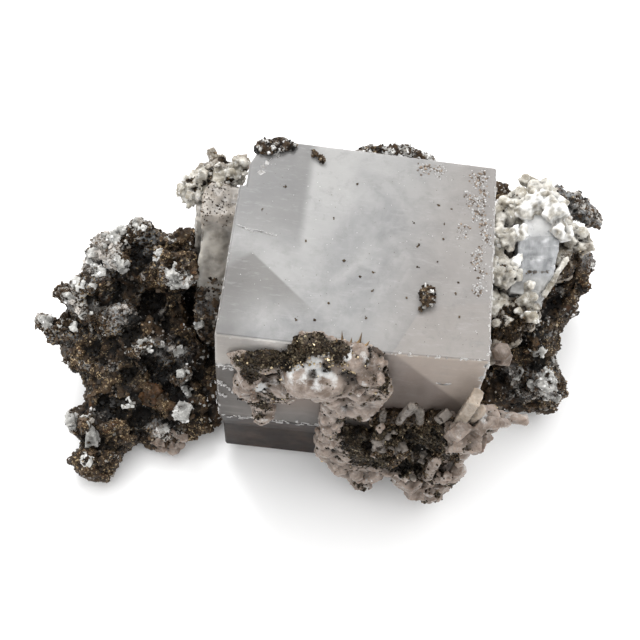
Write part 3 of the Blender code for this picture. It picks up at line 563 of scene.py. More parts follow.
def hand_in(piece, finish, slot, *nodes):
    if finish:
        piece.data.materials.clear()
        piece.data.materials.append(finish.material)
    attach(piece, "root")
    if nodes:
        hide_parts(*nodes)
    return piece


print("fixing helpers ready")

# %% [markdown]
# Minerals don't grow evenly, so numbers are painted on every point of a piece: soft noise, plus round
# spots where one stands thick. Painting with a brush is the usual way, but a list of spots can be repeated
# and corrected. Finishes and grains both read the numbers, so they agree.

# %% Painting where minerals stand
def points_of(piece):
    """The piece's points in mm about the cube's middle."""
    return (read(piece, "co") - np.array(CENTRE, np.float32)) / MM


def write(piece, name, values):
    """Stores one number for every point of the piece."""
    made = piece.data.attributes.new(name, "FLOAT", "POINT")
    made.data.foreach_set("value", np.asarray(values, np.float32))


def soft_noise(points, size, seed):
    shift = Vector((seed * 17.3, seed * 5.1, seed * 9.7))
    return np.array([noise.noise(Vector(p) / size + shift) for p in points.tolist()], np.float32)


def paint(piece, name, level, spots=(), size=4, swing=0.9, seed=1, hollow=0):
    """Paints a number: level, plus noise, plus spots, plus hollow times how deep the point lies."""
    points = points_of(piece)
    value = level + swing * soft_noise(points, size, seed)
    if hollow:
        depth = np.empty(len(points), np.float32)
        piece.data.attributes["relief"].data.foreach_get("value", depth)
        value += hollow * (1 - 2 * depth)
    for x, y, z, radius, strength in spots:
        away = np.linalg.norm(points - np.array((x, y, z), np.float32), axis=1)
        value += strength * np.clip(1.6 - away / radius, 0, 1)
    write(piece, name, np.clip(value, 0, 1))


print("paint ready")

# %% [markdown]
# Dark pyrite and dirt gather in a stone's hollows, and the finishes add painted shade there; its crests get a
# painted highlight. To find both, a piece is compared with a smoothed copy of itself: a ray-traced occlusion
# bake would find the hollows too, but slowly. Grains need to know one thing more, which is where no neighbour
# covers the piece.

# %% Hollows, crests and open places
COVERED_WITHIN = 0.6 * MM


def in_the_open(piece, *own):
    """For each point of the piece: whether no solid but its own stands as near as COVERED_WITHIN."""
    corners, faces = [], []
    for node, solid in frame["nodes"].items():
        if node not in own:
            faces += [[corner + len(corners) for corner in face.vertices] for face in solid.data.polygons]
            corners += [vert.co for vert in solid.data.vertices]
    others = BVHTree.FromPolygons(corners, faces)
    return np.array([others.find_nearest(vert.co, COVERED_WITHIN)[0] is None for vert in piece.data.vertices])


def relief(piece, reach, rounds):
    """Paints 0 in hollows, 0.5 on even ground and 1 on crests that stand reach mm out of a smoothed skin."""
    points, facing = points_of(piece).astype(float), read(piece, "normal")
    ends = np.empty(len(piece.data.edges) * 2, np.int32)
    piece.data.edges.foreach_get("vertices", ends)
    first, second = ends.reshape(-1, 2).T
    count = np.maximum(np.bincount(ends, minlength=len(points))[:, None], 1)
    skin = points.copy()
    for _ in range(rounds):
        total = [np.bincount(first, skin[second, axis], len(points))
                 + np.bincount(second, skin[first, axis], len(points)) for axis in range(3)]
        skin = np.stack(total, 1) / count
    rise = ((points - skin) * facing).sum(1)
    write(piece, "relief", np.clip(0.5 + rise / reach / 2, 0, 1))


print("relief ready")

# %% [markdown]
# A few lumps and pits of the real stone stand at known places, so they are listed and pushed, and the rest
# is left to noise. dress() then does what nearly every piece needs: relief, paint, its finish and attaching
# it.

# %% Pushing and dressing
def push(piece, spots):
    """Moves the skin out (or in, for a negative depth) round each spot: x, y, z, radius and depth in mm."""
    points, facing = points_of(piece).astype(float), read(piece, "normal")
    for x, y, z, radius, depth in spots:
        away = np.linalg.norm(points - (x, y, z), axis=1) / radius
        points += facing * (depth * np.clip(1 - away**2, 0, 1) ** 2)[:, None]
    piece.data.vertices.foreach_set("co", (points * MM + np.array(CENTRE)).astype(np.float32).ravel())
    piece.data.update()


def dress(piece, finish, slot, *nodes, reach=0.6, rounds=14, **painted):
    """Paints the relief and each named number (level, spots, size, swing, seed, hollow), and gives the
    finish.
    """
    relief(piece, reach, rounds)
    for name, how in painted.items():
        paint(piece, name, *how)
    return hand_in(piece, finish, slot, *nodes)


print("dressing ready")

# %% [markdown]
# Calcite grows as slanted rhombs, quartz as six-sided prisms with a tip, and both also as round heads. Each
# crystal starts as a cone, a ball or a cube, gets its tip or its slant, and is scaled and turned to where
# it points. A model of each kind could be copied instead, but every copy would be the same.

# %% Single crystals
def crystal(bm, kind, place, size, along=(0, 0, 1), twist=0):
    """Adds a crystal: place is its foot in mm, size its width, depth and length, along where it points."""
    if kind == "prism":
        made = bmesh.ops.create_cone(bm, cap_ends=True, segments=6, radius1=0.5, radius2=0.5, depth=0.8)
        faces = {face for vert in made["verts"] for face in vert.link_faces}
        tip = bmesh.ops.poke(bm, faces=[face for face in faces if face.normal.z > 0.9], offset=0.2)
        verts = made["verts"] + tip["verts"]
    elif kind == "point":
        made = bmesh.ops.create_cone(bm, cap_ends=True, segments=4, radius1=0.6, radius2=0.03, depth=1)
        verts = made["verts"]
    elif kind == "ball":
        verts = bmesh.ops.create_icosphere(bm, subdivisions=2, radius=0.5)["verts"]
    else:
        verts = bmesh.ops.create_cube(bm, size=1)["verts"]
        if kind == "rhomb":
            bmesh.ops.transform(bm, matrix=Matrix.Shear("XY", 4, (0.3, 0.12)), verts=verts)
    if kind != "ball":
        bmesh.ops.translate(bm, vec=(0, 0, 0.45), verts=verts)
    turn = Vector(along).to_track_quat("Z", "Y").to_matrix() @ Matrix.Rotation(twist, 3, "Z")
    grown = Matrix.Diagonal([side * MM for side in size])
    bmesh.ops.transform(bm, matrix=Matrix.Translation(spot(*place)) @ (turn @ grown).to_4x4(), verts=verts)


print("single crystals ready")

# %% [markdown]
# Crystals crowd together and melt into each other at the foot. So a patch stands many on the nearest
# points of a host, a whole group is filled into one bmesh, and a remesh makes one skin of it. A Boolean
# union would keep every edge sharp, which worn crystals aren't.

# %% Patches and groups of crystals
SUNK = 0.25


def patch(bm, host, dice, kinds, lean, x, y, z, spread, count, low, high):
    """Adds crystals of low to high mm, standing on host within spread mm of a place."""
    for _ in range(count):
        near = Vector((x, y, z)) + Vector([dice.gauss(0, spread / 2) for _ in range(3)])
        _, foot, facing, _ = host.closest_point_on_mesh(spot(*near))
        foot = (foot - CENTRE) / MM - facing * SUNK
        size = dice.uniform(low, high)
        along = facing + Vector([dice.uniform(-lean, lean) for _ in range(3)])
        shape = (size * dice.uniform(0.7, 1.1), size * dice.uniform(0.7, 1.1), size * dice.uniform(0.8, 1.5))
        crystal(bm, dice.choice(kinds), foot, shape, along, dice.uniform(0, math.tau))


def filled(fill):
    """A piece from what fill adds to an empty bmesh, and named after it."""
    bm = bmesh.new()
    fill(bm)
    return as_piece(bm, fill.__name__)


def crystal_piece(fill, voxel, wear, rounds=0):
    """What fill adds, melted together by a remesh, smoothed in rounds and worn by wear mm."""
    piece = filled(fill)
    fine(piece, voxel)
    if rounds:
        soften = piece.modifiers.new("soften", "SMOOTH")
        soften.factor, soften.iterations = 0.5, rounds
    lumps(piece, "CLOUDS", 0.7, wear)
    return fixed(piece)


print("crystal helpers ready")

# %% [markdown]
# Grains are a tenth of a millimetre to one across, and there are tens of thousands. Each shape is made
# once, about 1 mm across and with a handful of faces, since it will be repeated so often: cubes and
# octahedra for pyrite, rhombs, needles and balls for calcite.

# %% Shapes for the grains
def grain(name, finish, shape):
    """A crystal about 1 mm across, standing at the origin."""
    bm = bmesh.new()
    if shape == "cube":
        bmesh.ops.create_cube(bm, size=1 * MM)
    elif shape == "ball":
        bmesh.ops.create_icosphere(bm, subdivisions=1, radius=0.55 * MM)
    elif shape == "octahedron":
        half = 0.65 * MM
        bmesh.ops.create_cone(bm, cap_ends=False, segments=4, radius1=half, radius2=0, depth=half)
        bmesh.ops.translate(bm, vec=(0, 0, half / 2), verts=bm.verts)
        both = bm.verts[:] + bm.edges[:] + bm.faces[:]
        bmesh.ops.mirror(bm, geom=both, axis="Z", merge_dist=0.01 * MM)
        bmesh.ops.recalc_face_normals(bm, faces=bm.faces)
    elif shape == "rhomb":
        bmesh.ops.create_cube(bm, size=0.9 * MM)
        bmesh.ops.transform(bm, matrix=Matrix.Shear("XY", 4, (0.35, 0.1)), verts=bm.verts)
    elif shape == "needle":
        across = 0.36 * MM
        bmesh.ops.create_cone(bm, cap_ends=True, segments=4, radius1=across, radius2=across, depth=1.6 * MM)
        bmesh.ops.poke(bm, faces=[face for face in bm.faces if face.normal.z > 0.9], offset=0.45 * MM)
    mesh = bpy.data.meshes.new(name)
    bm.to_mesh(mesh)
    bm.free()
    mesh.materials.append(finish.material)
    return bpy.data.objects.new(name, mesh)


print("grain shapes ready")

# %% [markdown]
# A rock's grains come in sets: cubes and octahedra of pyrite, rhombs and needles of calcite. A set is kept
# in a collection that isn't shown, and Geometry Nodes picks a grain from it at random. The pyrite has
# three sets, because a crystal by the pillow shines, one in the rock is dull and one on the crust is sooty.

# %% Sets of grains
def shelf(name, finish, slot, *shapes):
    """One grain of each shape, in a collection that isn't shown, with a slot name stored on it."""
    made = bpy.data.collections.new(name)
    made["slot"] = slot
    for shape in shapes:
        made.objects.link(grain(f"{name}_{shape}", finish, shape))
    return made


pyrite_grains = shelf("pyrite_grains", pyrite, "pyrite", "cube", "octahedron")
soot_grains = shelf("soot_grains", sooty_pyrite, "pyrite", "cube", "octahedron")
brass_grains = shelf("brass_grains", brassy, "pyrite", "cube", "octahedron")
crumb_grains = shelf("crumb_grains", crumb, "pyritic_rock", "octahedron", "cube")
ice_grains = shelf("ice_grains", ice, "calcite", "rhomb", "cube", "needle")
white_grains = shelf("white_grains", white, "calcite", "ball", "rhomb", "needle")
druse_grains = shelf("druse_grains", smoky, "clear_quartz", "rhomb", "needle")
blush_grains = shelf("blush_grains", blush, "calcite", "ball", "rhomb", "needle")
print("sets of grains ready")

# %% [markdown]
# Geometry Nodes sets the grains: it spreads points over a host by a painted number, stands a grain on
# each with its own size, turn and tint, and makes the lot real mesh. A particle system could spread them
# too, but its instances would be lost when the piece is made into a plain mesh.

# %% Scattering them
def scatter(name, host, grains, seed, per_mm2, size, painted=None, region=None, lift=(-0.25, 0.1), slot=None):
    """A piece of grains on host, thick where both numbers are high. size and lift are low and high in mm."""
    tree = bpy.data.node_groups.new(name, "GeometryNodeTree")
    for way in ("INPUT", "OUTPUT"):
        tree.interface.new_socket("Geometry", in_out=way, socket_type="NodeSocketGeometry")

    def node(kind, *values, **named):
        return add_node(tree, kind, *values, **named)

    def maths(operation, first, second):
        return node("ShaderNodeMath", first, second, operation=operation).outputs[0]

    def scaled(vector, by):
        return node("ShaderNodeVectorMath", vector, Scale=by, operation="SCALE").outputs["Vector"]

    def chance(low, high, salt, kind="FLOAT"):
        """A random number for each point."""
        first, output = {"FLOAT_VECTOR": (0, 0), "FLOAT": (2, 1), "INT": (4, 2)}[kind]
        made = node("FunctionNodeRandomValue", Seed=seed * 10 + salt)
        made.data_type = kind
        made.inputs[first].default_value, made.inputs[first + 1].default_value = low, high
        return made.outputs[output]

    def painted_number(attribute):
        made = node("GeometryNodeInputNamedAttribute", Name=attribute)
        made.data_type = "FLOAT"
        return made.outputs["Attribute"]

    share = 1
    for attribute in filter(None, (painted, region)):
        share = maths("MULTIPLY", painted_number(attribute), share)
    start, end = node("NodeGroupInput"), node("NodeGroupOutput")
    spread = node("GeometryNodeDistributePointsOnFaces", Mesh=start.outputs[0],
                  Density=maths("MULTIPLY", share, per_mm2 / MM**2), Seed=seed)
    rise = scaled(spread.outputs["Normal"], chance(lift[0] * MM, lift[1] * MM, 1))
    moved = node("GeometryNodeSetPosition", Geometry=spread.outputs["Points"], Offset=rise)
    tinted = node("GeometryNodeStoreNamedAttribute", Geometry=moved.outputs[0], Name="tint",
                  Value=chance(0, 1, 2))
    shapes = node("GeometryNodeCollectionInfo", Collection=grains, Separate_Children=True,
                  Reset_Children=True)
    small = maths("POWER", chance(0, 1, 3), 1.8)
    scale = maths("ADD", maths("MULTIPLY", small, size[1] - size[0]), size[0])
    uneven = scaled(chance((0.7,) * 3, (1.25,) * 3, 4, "FLOAT_VECTOR"), scale)
    turn = node("FunctionNodeEulerToRotation", Euler=chance((0,) * 3, (math.tau,) * 3, 5, "FLOAT_VECTOR"))
    stood = node("GeometryNodeInstanceOnPoints", Points=tinted.outputs[0], Instance=shapes.outputs[0],
                 Pick_Instance=True, Instance_Index=chance(0, len(grains.objects) - 1, 6, "INT"),
                 Rotation=turn.outputs[0], Scale=uneven)
    real = node("GeometryNodeRealizeInstances", Geometry=stood.outputs[0])
    tree.links.new(real.outputs[0], end.inputs[0])

    piece = bpy.data.objects.new(name, host.data.copy())
    scene.collection.objects.link(piece)
    piece.modifiers.new("scatter", "NODES").node_group = tree
    fixed(piece, smooth=False)
    bpy.data.node_groups.remove(tree)
    return hand_in(piece, None, slot or grains["slot"])


print("scatter ready")

# %% [markdown]
# Calcite, grey quartz and brassy pyrite stand thick at places of their own on the rock, and it has a few
# deep hollows and knobs. Noise alone would put these anywhere, so they are listed.

# %% Where the rock is pale, grey, golden, hollow and raised
# Each row: x, y, z, radius, and how strong the spot or how deep the push is.
PALE_SPOTS = [
    (-51.2, 6.5, 28.4, 2.4, 0.7), (-53, 7.5, 27.5, 2.6, 0.9), (-48, 10.5, 31.7, 2.6, 1),
    (-44, 12.2, 33.5, 2.2, 0.9), (-46.3, 4.7, 31.3, 1.4, 1), (-49.5, -3.9, 23, 4, 0.5),
    (-40.5, -7.2, 20.6, 1.8, 1), (-34.5, -5.2, 15, 1.2, 1), (-42.5, -17.3, 13.6, 1.2, 1),
    (-32.4, -9.5, 14.3, 1.4, 0.7), (-31.5, -12.5, 11.5, 1.4, 0.7), (-34.2, -21.1, 6.2, 3, 0.8),
    (-48.8, -29.2, 10.9, 1.3, 1), (-53.6, -21.6, 10.6, 1.8, 0.9), (-58.5, 1, 22.2, 2, 0.5),
    (-34.1, 0.9, 32.8, 2.2, 0.9), (-55.5, 1.9, 25.4, 1.4, 0.8), (-39.2, 4.7, 35.2, 1.1, 1),
    (-44.1, -27, 7.4, 1.1, 0.8), (-37, -7, 17, 2.5, 0.4), (35.8, -1.6, 13.8, 1.6, 1),
    (37.7, 1.7, 18.4, 1, 0.8), (41, -4.9, 16.6, 4, 0.6), (49.8, 32, 25.4, 2, 0.5), (44, 33, 27.6, 2, 0.5),
    (-61.5, -4, 19.5, 2.4, 0.85), (-57.5, 0, 22.5, 2.6, 0.8), (-54, -2, 22.5, 2.4, 0.5),
    (-50, 9, 30.5, 3.2, 0.6), (-34.3, 2.6, 29, 2.2, 0.8), (-35.4, 1.8, 34.2, 1.6, 0.8),
    (-49.4, 4.7, 30.5, 2, 0.5), (-53.6, 6.4, 26.8, 2.2, 0.5), (-46, 11.5, 32.5, 2.4, 0.6),
    (-38, 7, 34, 1.6, 0.5), (-36, 3, 33.5, 1.8, 0.6), (-47, 3.5, 29, 2.4, 0.4), (-57.9, -3.8, 19.3, 2, 0.7),
    (-55.6, -4.4, 19.4, 2, 0.8), (-53.4, -3.6, 20.6, 2.2, 0.7), (-51, -4.6, 20.8, 2.2, 0.5),
]
GREY_SPOTS = [
    (-53.2, -3.2, 20.9, 3.5, 0.9), (-49.8, -3.7, 22.8, 4, 1), (-47, -4.8, 23.7, 3.5, 0.9),
    (-46.2, -2.4, 24.6, 3, 0.8), (-52, 6, 27, 3.5, 0.9), (-46, 8, 30, 5, 0.6), (-36, -5, 14, 4, 0.6),
    (-34, -10, 12, 4, 0.6), (-48, -19, 10, 3, 0.4), (-38, -20, 8, 4, 0.6), (-40, -7, 19, 3, 0.7),
    (42, 4, 19, 4, 0.5), (37, -3, 13, 4, 0.7), (42, -5, 14, 5, 0.6), (47, 31, 25, 8, 1.2),
    (-30, -4, 18, 4, 0.5), (-50, 9, 30, 6, 0.9), (-55.5, 2, 25, 4, 0.9), (-61, -4, 19, 4, 0.8),
    (-57, -1, 22, 4, 0.8), (-42, 12, 33, 5, 0.7), (-36, 1, 33, 4, 0.7), (-60.5, -7.5, 17, 4, 0.5),
    (-34, -2, 24, 4, 0.6), (-44, -1, 25, 4, 0.5),
]
GOLD_SPOTS = [
    (-37.6, 4.7, 35.8, 4, 0.8), (-43, 6, 29, 4, 0.7), (-51.2, -8.9, 16, 5, 0.9),
    (-60.6, -5.6, 18.5, 3, 0.6), (-47.7, -27.4, 10.8, 4, 0.7), (42, 5, 18.5, 4, 0.9),
    (47.3, 32, 27, 3, 0.3), (-36.5, -17.2, 10.9, 2, 0.7), (-53, 0.5, 25.5, 3, 0.7),
    (-44.9, -29.3, 6.5, 3, 0.5), (-43, -22, 10.5, 4, 0.5), (-40, 2.7, 22, 4, 0.4), (48, 31, 25, 8, -0.6),
    (-50, 9, 30, 4, -0.4),
]
HOLLOWS = [
    (-43.3, -4.5, 22, 4.5, -3.5), (-33.4, -9.5, 14.9, 3.5, -2.5), (-42.9, -12.3, 16.4, 4, -2),
    (-46.1, -18.6, 11.9, 4, -2.5), (-38.4, -10.3, 14.4, 3, -2), (-33.2, 6, 20.1, 4, -2),
    (-40.5, -19.4, 9.6, 3.5, -2), (-37, -1, 19, 3.5, -2), (42.1, 12.2, 22.3, 4, -2),
    (35.2, -5.5, 12.2, 3, -2), (38.7, 8.7, 23.8, 3, -1.5), (-40, 2.7, 20.8, 4, -1.5),
]
KNOBS = [
    (-40.5, -7.1, 20.6, 2, 1.2), (-53, 1.8, 26.5, 2.5, 1), (-48.8, -28.1, 11.1, 2.5, 0.6),
    (41, -4.9, 16.6, 3, 0.5), (-63, -3.5, 17.9, 3, 1), (-58.5, 1, 22.6, 3, 1.2), (-51, 6.5, 28.6, 3, 0.8),
    (-44, 12, 33.5, 3, 0.6),
]
print("rock spots:", len(PALE_SPOTS + GREY_SPOTS + GOLD_SPOTS + HOLLOWS + KNOBS))

# %% [markdown]
# The rock is one piece, craggy at four sizes, so four Displace modifiers go over it, from coarse to fine.
# One noise of many scales would be simpler, but would make its lumps no sharper than its pits, so Voronoi
# cells do the middle sizes. Nothing grows on its base, under the cube, or where it faces down.

# %% The matrix rock
BASE_EDGE, CUBE_FOOT, FACING_DOWN = 0.6, 10, -0.5
rock = copy_of("matrix_rock", voxel=0.5)
fixed(rock)
push(rock, HOLLOWS + KNOBS)
for kind, size, depth, level in (("CLOUDS", 5, 2.4, 0.52), ("VORONOI", 2.2, -1.7, 0.15),
                                 ("VORONOI", 1, -0.8, 0.2), ("CLOUDS", 0.6, 0.5, 0.5)):
    lumps(rock, kind, size, depth, level)
fixed(rock)
across, along, height = points_of(rock).T
under_cube = (np.abs(across) < HALF_WIDTH) & (np.abs(along) < HALF_DEPTH) & (height < CUBE_FOOT)
bare = (height <= BASE_EDGE) | under_cube | (read(rock, "normal")[:, 2] <= FACING_DOWN)
write(rock, "open", ~bare & in_the_open(rock, "matrix_rock"))
dress(rock, matrix_finish, "pyritic_rock", "matrix_rock", reach=0.9, rounds=40,
      pale=(0.12, PALE_SPOTS, 3, 0.9, 1), gold=(0.46, GOLD_SPOTS, 5, 1, 2),
      grey=(-0.15, GREY_SPOTS, 4, 0.8, 4), patch=(-0.5, PALE_SPOTS, 2, 1, 3))

# %% [markdown]
# Five layers of grains go over the rock: dull crumbs everywhere, pyrite where it is golden, calcite where
# it is pale, coarser calcite in the middle of the pale spots, and fine grey quartz. One layer of mixed
# grains would be shorter, but each mineral keeps to its own places.

# %% Grains over the rock
for name, grains, seed, per_mm2, size, painted, lift in (
        ("rock_crumbs", crumb_grains, 11, 0.85, (0.25, 0.8), "open", (-0.25, 0.1)),
        ("rock_pyrite", pyrite_grains, 12, 2.35, (0.17, 0.47), "gold", (-0.25, 0.1)),
        ("rock_calcite", ice_grains, 13, 2.4, (0.2, 0.65), "pale", (-0.25, 0.1)),
        ("rock_calcite_patches", ice_grains, 14, 5, (0.35, 1.2), "patch", (-0.4, 0)),
        ("rock_druse", druse_grains, 15, 3.4, (0.16, 0.6), "grey", (-0.25, 0.1))):
    scatter(name, rock, grains, seed, per_mm2, size, painted, "open", lift)

# %% [markdown]
# Larger crystals stand out of the rock: white rhombs on the low knobs, and heads of white knobs along its
# upper rim. The rhombs are placed singly. The heads are patches: random crystals round a place, each
# standing on the nearest point of the rock, because no one would place a hundred by hand.

# %% Crystals on the rock
# Each rhomb: foot, size, direction and twist.
ROCK_RHOMBS = [
    ((-31.9, -17.6, 12.3), (2.8, 3, 2.8), (0.25, -0.2, 0.9), 0.5),
    ((-50.2, -22, 12.6), (1.4, 1.4, 2), (-0.2, 0.2, 1), 1),
    ((-53.4, -21.2, 9.6), (2.6, 2, 2.2), (-0.4, 0, 1), 0.3),
    ((-46.6, 4.6, 30), (2, 1.6, 2.2), (0.2, 0, 1), 0.9),
    ((-34.6, -5.2, 14), (2.2, 1.8, 2), (0.1, -0.3, 1), 0.2),
    ((-31, -2.2, 21), (1.4, 1, 2.2), (0.9, 0, 0.6), 0.2),
]
# Each patch: x, y, z, spread, how many, and the smallest and largest.
ROCK_HEADS = [
    (-52.7, 7.8, 28, 2, 20, 0.6, 1.5), (-48, 10.3, 31.6, 2.4, 26, 0.6, 1.6),
    (-43.8, 12.3, 33.5, 1.6, 12, 0.6, 1.4), (-46.3, 4.7, 31, 1.2, 8, 0.6, 1.2),
    (-40.5, -7.2, 20.4, 1.5, 14, 0.6, 1.5), (-34.5, -5.4, 15, 0.9, 6, 0.6, 1.2),
    (-42.4, -17.3, 13.6, 1, 7, 0.6, 1.3), (-39, 4.9, 35, 1.2, 10, 0.6, 1.3),
    (-34.1, 0.8, 31.5, 2.2, 24, 0.7, 1.7), (-35.4, 1.8, 34.2, 1.4, 16, 0.6, 1.4),
    (-34.3, 2.6, 29.5, 1.6, 14, 0.6, 1.4), (-46.4, 5.4, 29.5, 1.8, 16, 0.6, 1.5),
    (-51.1, 3.5, 27.8, 1.4, 10, 0.6, 1.4), (-61.5, -4.2, 19.8, 1.4, 9, 0.5, 1.2),
    (-57, 0.5, 23, 1.6, 12, 0.5, 1.3), (-32.2, -9.6, 14, 1, 6, 0.6, 1.2),
    (-31.5, -12.4, 11, 1, 5, 0.6, 1.2), (-48.8, -29.2, 10.9, 1, 8, 0.5, 1.2),
    (-53.4, -21.4, 10.6, 1.2, 10, 0.6, 1.4), (-55.6, 1.8, 25.4, 1, 7, 0.5, 1.2),
    (-53, 1.8, 26.5, 1.2, 7, 0.5, 1.2), (35.8, -1.6, 13.8, 1.2, 7, 0.7, 1.4),
    (41, -4.9, 16.6, 2.8, 30, 0.8, 2), (37.5, 1, 20, 1.2, 8, 0.8, 1.5),
    (-56.2, -4.4, 19.5, 1.8, 10, 0.5, 1.1), (-53, -3.4, 21, 1.6, 9, 0.5, 1.1),
]


def rock_crystals(bm):
    dice = random.Random(5)
    for row in ROCK_RHOMBS:
        crystal(bm, "rhomb", *row)
    for row in ROCK_HEADS:
        patch(bm, rock, dice, ("rhomb", "ball", "rhomb"), 0.8, *row)


piece = dress(crystal_piece(rock_crystals, voxel=0.25, wear=0.35, rounds=2), ice, "calcite", reach=0.5,
              gold=(0, (), 1.3, 1.4, 61, 0.7), pale=(0.5, (), 1.6, 0.8, 62))
scatter("rock_crystals_grains", piece, ice_grains, 63, 2, (0.2, 0.65), "pale")
scatter("rock_crystals_dust", piece, pyrite_grains, 64, 5, (0.15, 0.38), "gold")

# %% [markdown]
# Three more growths differ from their neighbours in colour, so each is a piece with its own finish: a dull
# brown crystal, one sharp point on the low knob, and soft pink lumps by the rock's lower edge.

# %% Brown, sharp and pink growths
# Each ball: x, y, z and size.
PINK_BALLS = [
    (-34.8, -20.3, 5.4, 3.2), (-33.3, -20, 5.6, 2.6), (-35.6, -22, 3.6, 2.8), (-33.4, -22.2, 3.2, 3.2),
    (-36.6, -21.6, 4, 2), (-32, -21.2, 4, 2.2),
]


def brown_crystal(bm):
    crystal(bm, "rhomb", (-38.9, -14.6, 11.8), (3.6, 2.8, 2.4), (0.3, -0.1, 1), 0.3)
    crystal(bm, "ball", (-37.4, -14, 12.6), (2.6, 2.4, 2.4))
    crystal(bm, "ball", (-40, -15.2, 12.8), (2.2, 2, 2))


def sharp_crystal(bm):
    crystal(bm, "point", (-48.7, -24.8, 9.6), (3.8, 3, 7.6), (-0.1, 0.25, 1), 0.4)


def pink_lumps(bm):
    dice = random.Random(6)
    for x, y, z, size in PINK_BALLS:
        crystal(bm, "ball", (x, y, z), (size, size * 0.8, size * 0.8), twist=dice.uniform(0, 3))
    patch(bm, rock, dice, ("rhomb", "ball"), 0.6, -34.2, -21.2, 5, 2.6, 14, 0.8, 1.8)


for fill, finish, gold in ((brown_crystal, amber, 0.1), (sharp_crystal, ice, 0.3), (pink_lumps, blush, -0.1)):
    piece = crystal_piece(fill, voxel=0.25, wear=0.45, rounds=2)
    dress(piece, finish, "calcite", gold=(gold, (), 1, 1.2, 65, 0.5))

# %% [markdown]
# The white crystals behind and right of the cube are knobbly calcite: round heads a few millimetres
# across, crowded together, with dark pyrite dust between them. Voronoi cells, pushed inwards along their
# borders, give just such heads, and the dust is painted deep in the gaps.

# %% White crystals
# Each spot of dust: x, y, z, radius and strength.
REAR_DUST = [
    (-33.2, 18.2, 40.5, 1.3, 0.9), (-27.6, 23, 43, 1.8, 0.4), (-30.8, 20.4, 41, 1, 0.6),
    (-29.4, 24.2, 42.3, 1.4, 0.6), (-31.4, 22.8, 41.6, 1, 0.5), (-30.5, 18.5, 40, 1.5, 0.6),
    (-26, 19.5, 41, 2, 0.6),
]
RIGHT_DUST = [
    (29.5, 0, 28.5, 4, 0.5), (31.5, 2.5, 28, 3, 0.5), (40.6, 17, 27, 3, 0.6), (42.9, 15.3, 30.2, 3, 1.2),
    (44.5, 17, 28, 2.5, 1.2), (30.5, 1.5, 29, 2.5, 0.5), (46, 10, 24, 4, 0.8), (30.5, 1, 30, 3, 0.7),
    (32, 5.5, 31, 2, 0.6), (38.6, 26.7, 36.9, 2.5, 0.5), (27, 4, 33, 3, 0.5), (35, 3, 27, 3, 0.5),
    (27.6, 10, 36, 1.5, 0.3),
]
SHADE_BELOW, SHADE_BEHIND = 34.5, 20.5
whites = {}
for node, dust, seed in (("rear_white_crystals", REAR_DUST, 21), ("right_white_crystals", RIGHT_DUST, 22)):
    piece = whites[node] = copy_of(node, voxel=0.34)
    lumps(piece, "VORONOI", 2.4, -1.7, 0.2)
    lumps(piece, "VORONOI", 1, -0.5, 0.25)
    lumps(piece, "CLOUDS", 0.5, 0.18)
    fixed(piece)
    where = points_of(piece)
    # The grey painted here is painted shade: on the right group it deepens towards the foot, on the rear
    # group towards the back.
    painted_shade = np.where(where[:, 0] > 0, (SHADE_BELOW - where[:, 2]) / 4, (where[:, 1] - SHADE_BEHIND) / 3)
    write(piece, "grey", np.clip(painted_shade + 0.7 * soft_noise(where, 2, seed), 0, 0.9))
    write(piece, "open", in_the_open(piece, node))
    dress(piece, white, "calcite", node, reach=0.9, rounds=40,
          gold=(-0.05, dust, 2.5, 0.9, seed, 0.9), pale=(0.3, (), 3, 0.9, seed + 5))
    scatter(node + "_grains", piece, white_grains, seed + 10, 2, (0.25, 0.9), "pale", "open", (-0.4, 0))
    scatter(node + "_dust", piece, pyrite_grains, seed + 20, 5, (0.15, 0.4), "gold", "open")
rear_whites, right_whites = whites["rear_white_crystals"], whites["right_white_crystals"]

# %% [markdown]
# The rear group shows round heads of 1 to 2 mm against the light, too crisp for the displaced skin. So
# balls and rhombs are stood on it as one more piece, with its own grains and dust.

# %% Knobs on the rear crystals
# Each patch: x, y, z, spread, how many, and the smallest and largest.
REAR_HEADS = [
    (-34.5, 18, 40, 2, 14, 0.9, 2), (-31, 19, 41, 2, 14, 0.9, 2.2), (-27, 21.5, 42.5, 2.2, 14, 0.9, 2),
    (-31.5, 22.5, 41, 2, 12, 0.8, 1.6), (-33.5, 15.5, 39, 1.4, 8, 0.8, 1.6),
    (-26.5, 18.5, 41, 1.4, 8, 0.8, 1.6),
]


def rear_knobs(bm):
    dice = random.Random(12)
    for row in REAR_HEADS:
        patch(bm, rear_whites, dice, ("ball", "rhomb", "ball"), 0.4, *row)


piece = crystal_piece(rear_knobs, voxel=0.27, wear=0.25, rounds=1)
where = points_of(piece)
# The grey painted here is painted shade, deeper towards the back.
write(piece, "grey", np.clip((where[:, 1] - SHADE_BEHIND) / 3 + 0.9 * soft_noise(where, 2, 28), 0, 0.8))
dress(piece, white, "calcite", gold=(0.02, REAR_DUST, 1.6, 0.9, 27, 0.8), pale=(0.45, (), 1.5, 0.9, 30))
scatter("rear_knobs_grains", piece, white_grains, 31, 3, (0.2, 0.7), "pale", lift=(-0.3, 0))
scatter("rear_knobs_dust", piece, pyrite_grains, 29, 7, (0.15, 0.36), "gold")

# %% [markdown]
# The crust on the cube's front saddles its top edge. Pyrite lies along its top and deep in its hollows,
# brass-coloured in a few places, and white chips stand out. As on the rock, these places are listed.

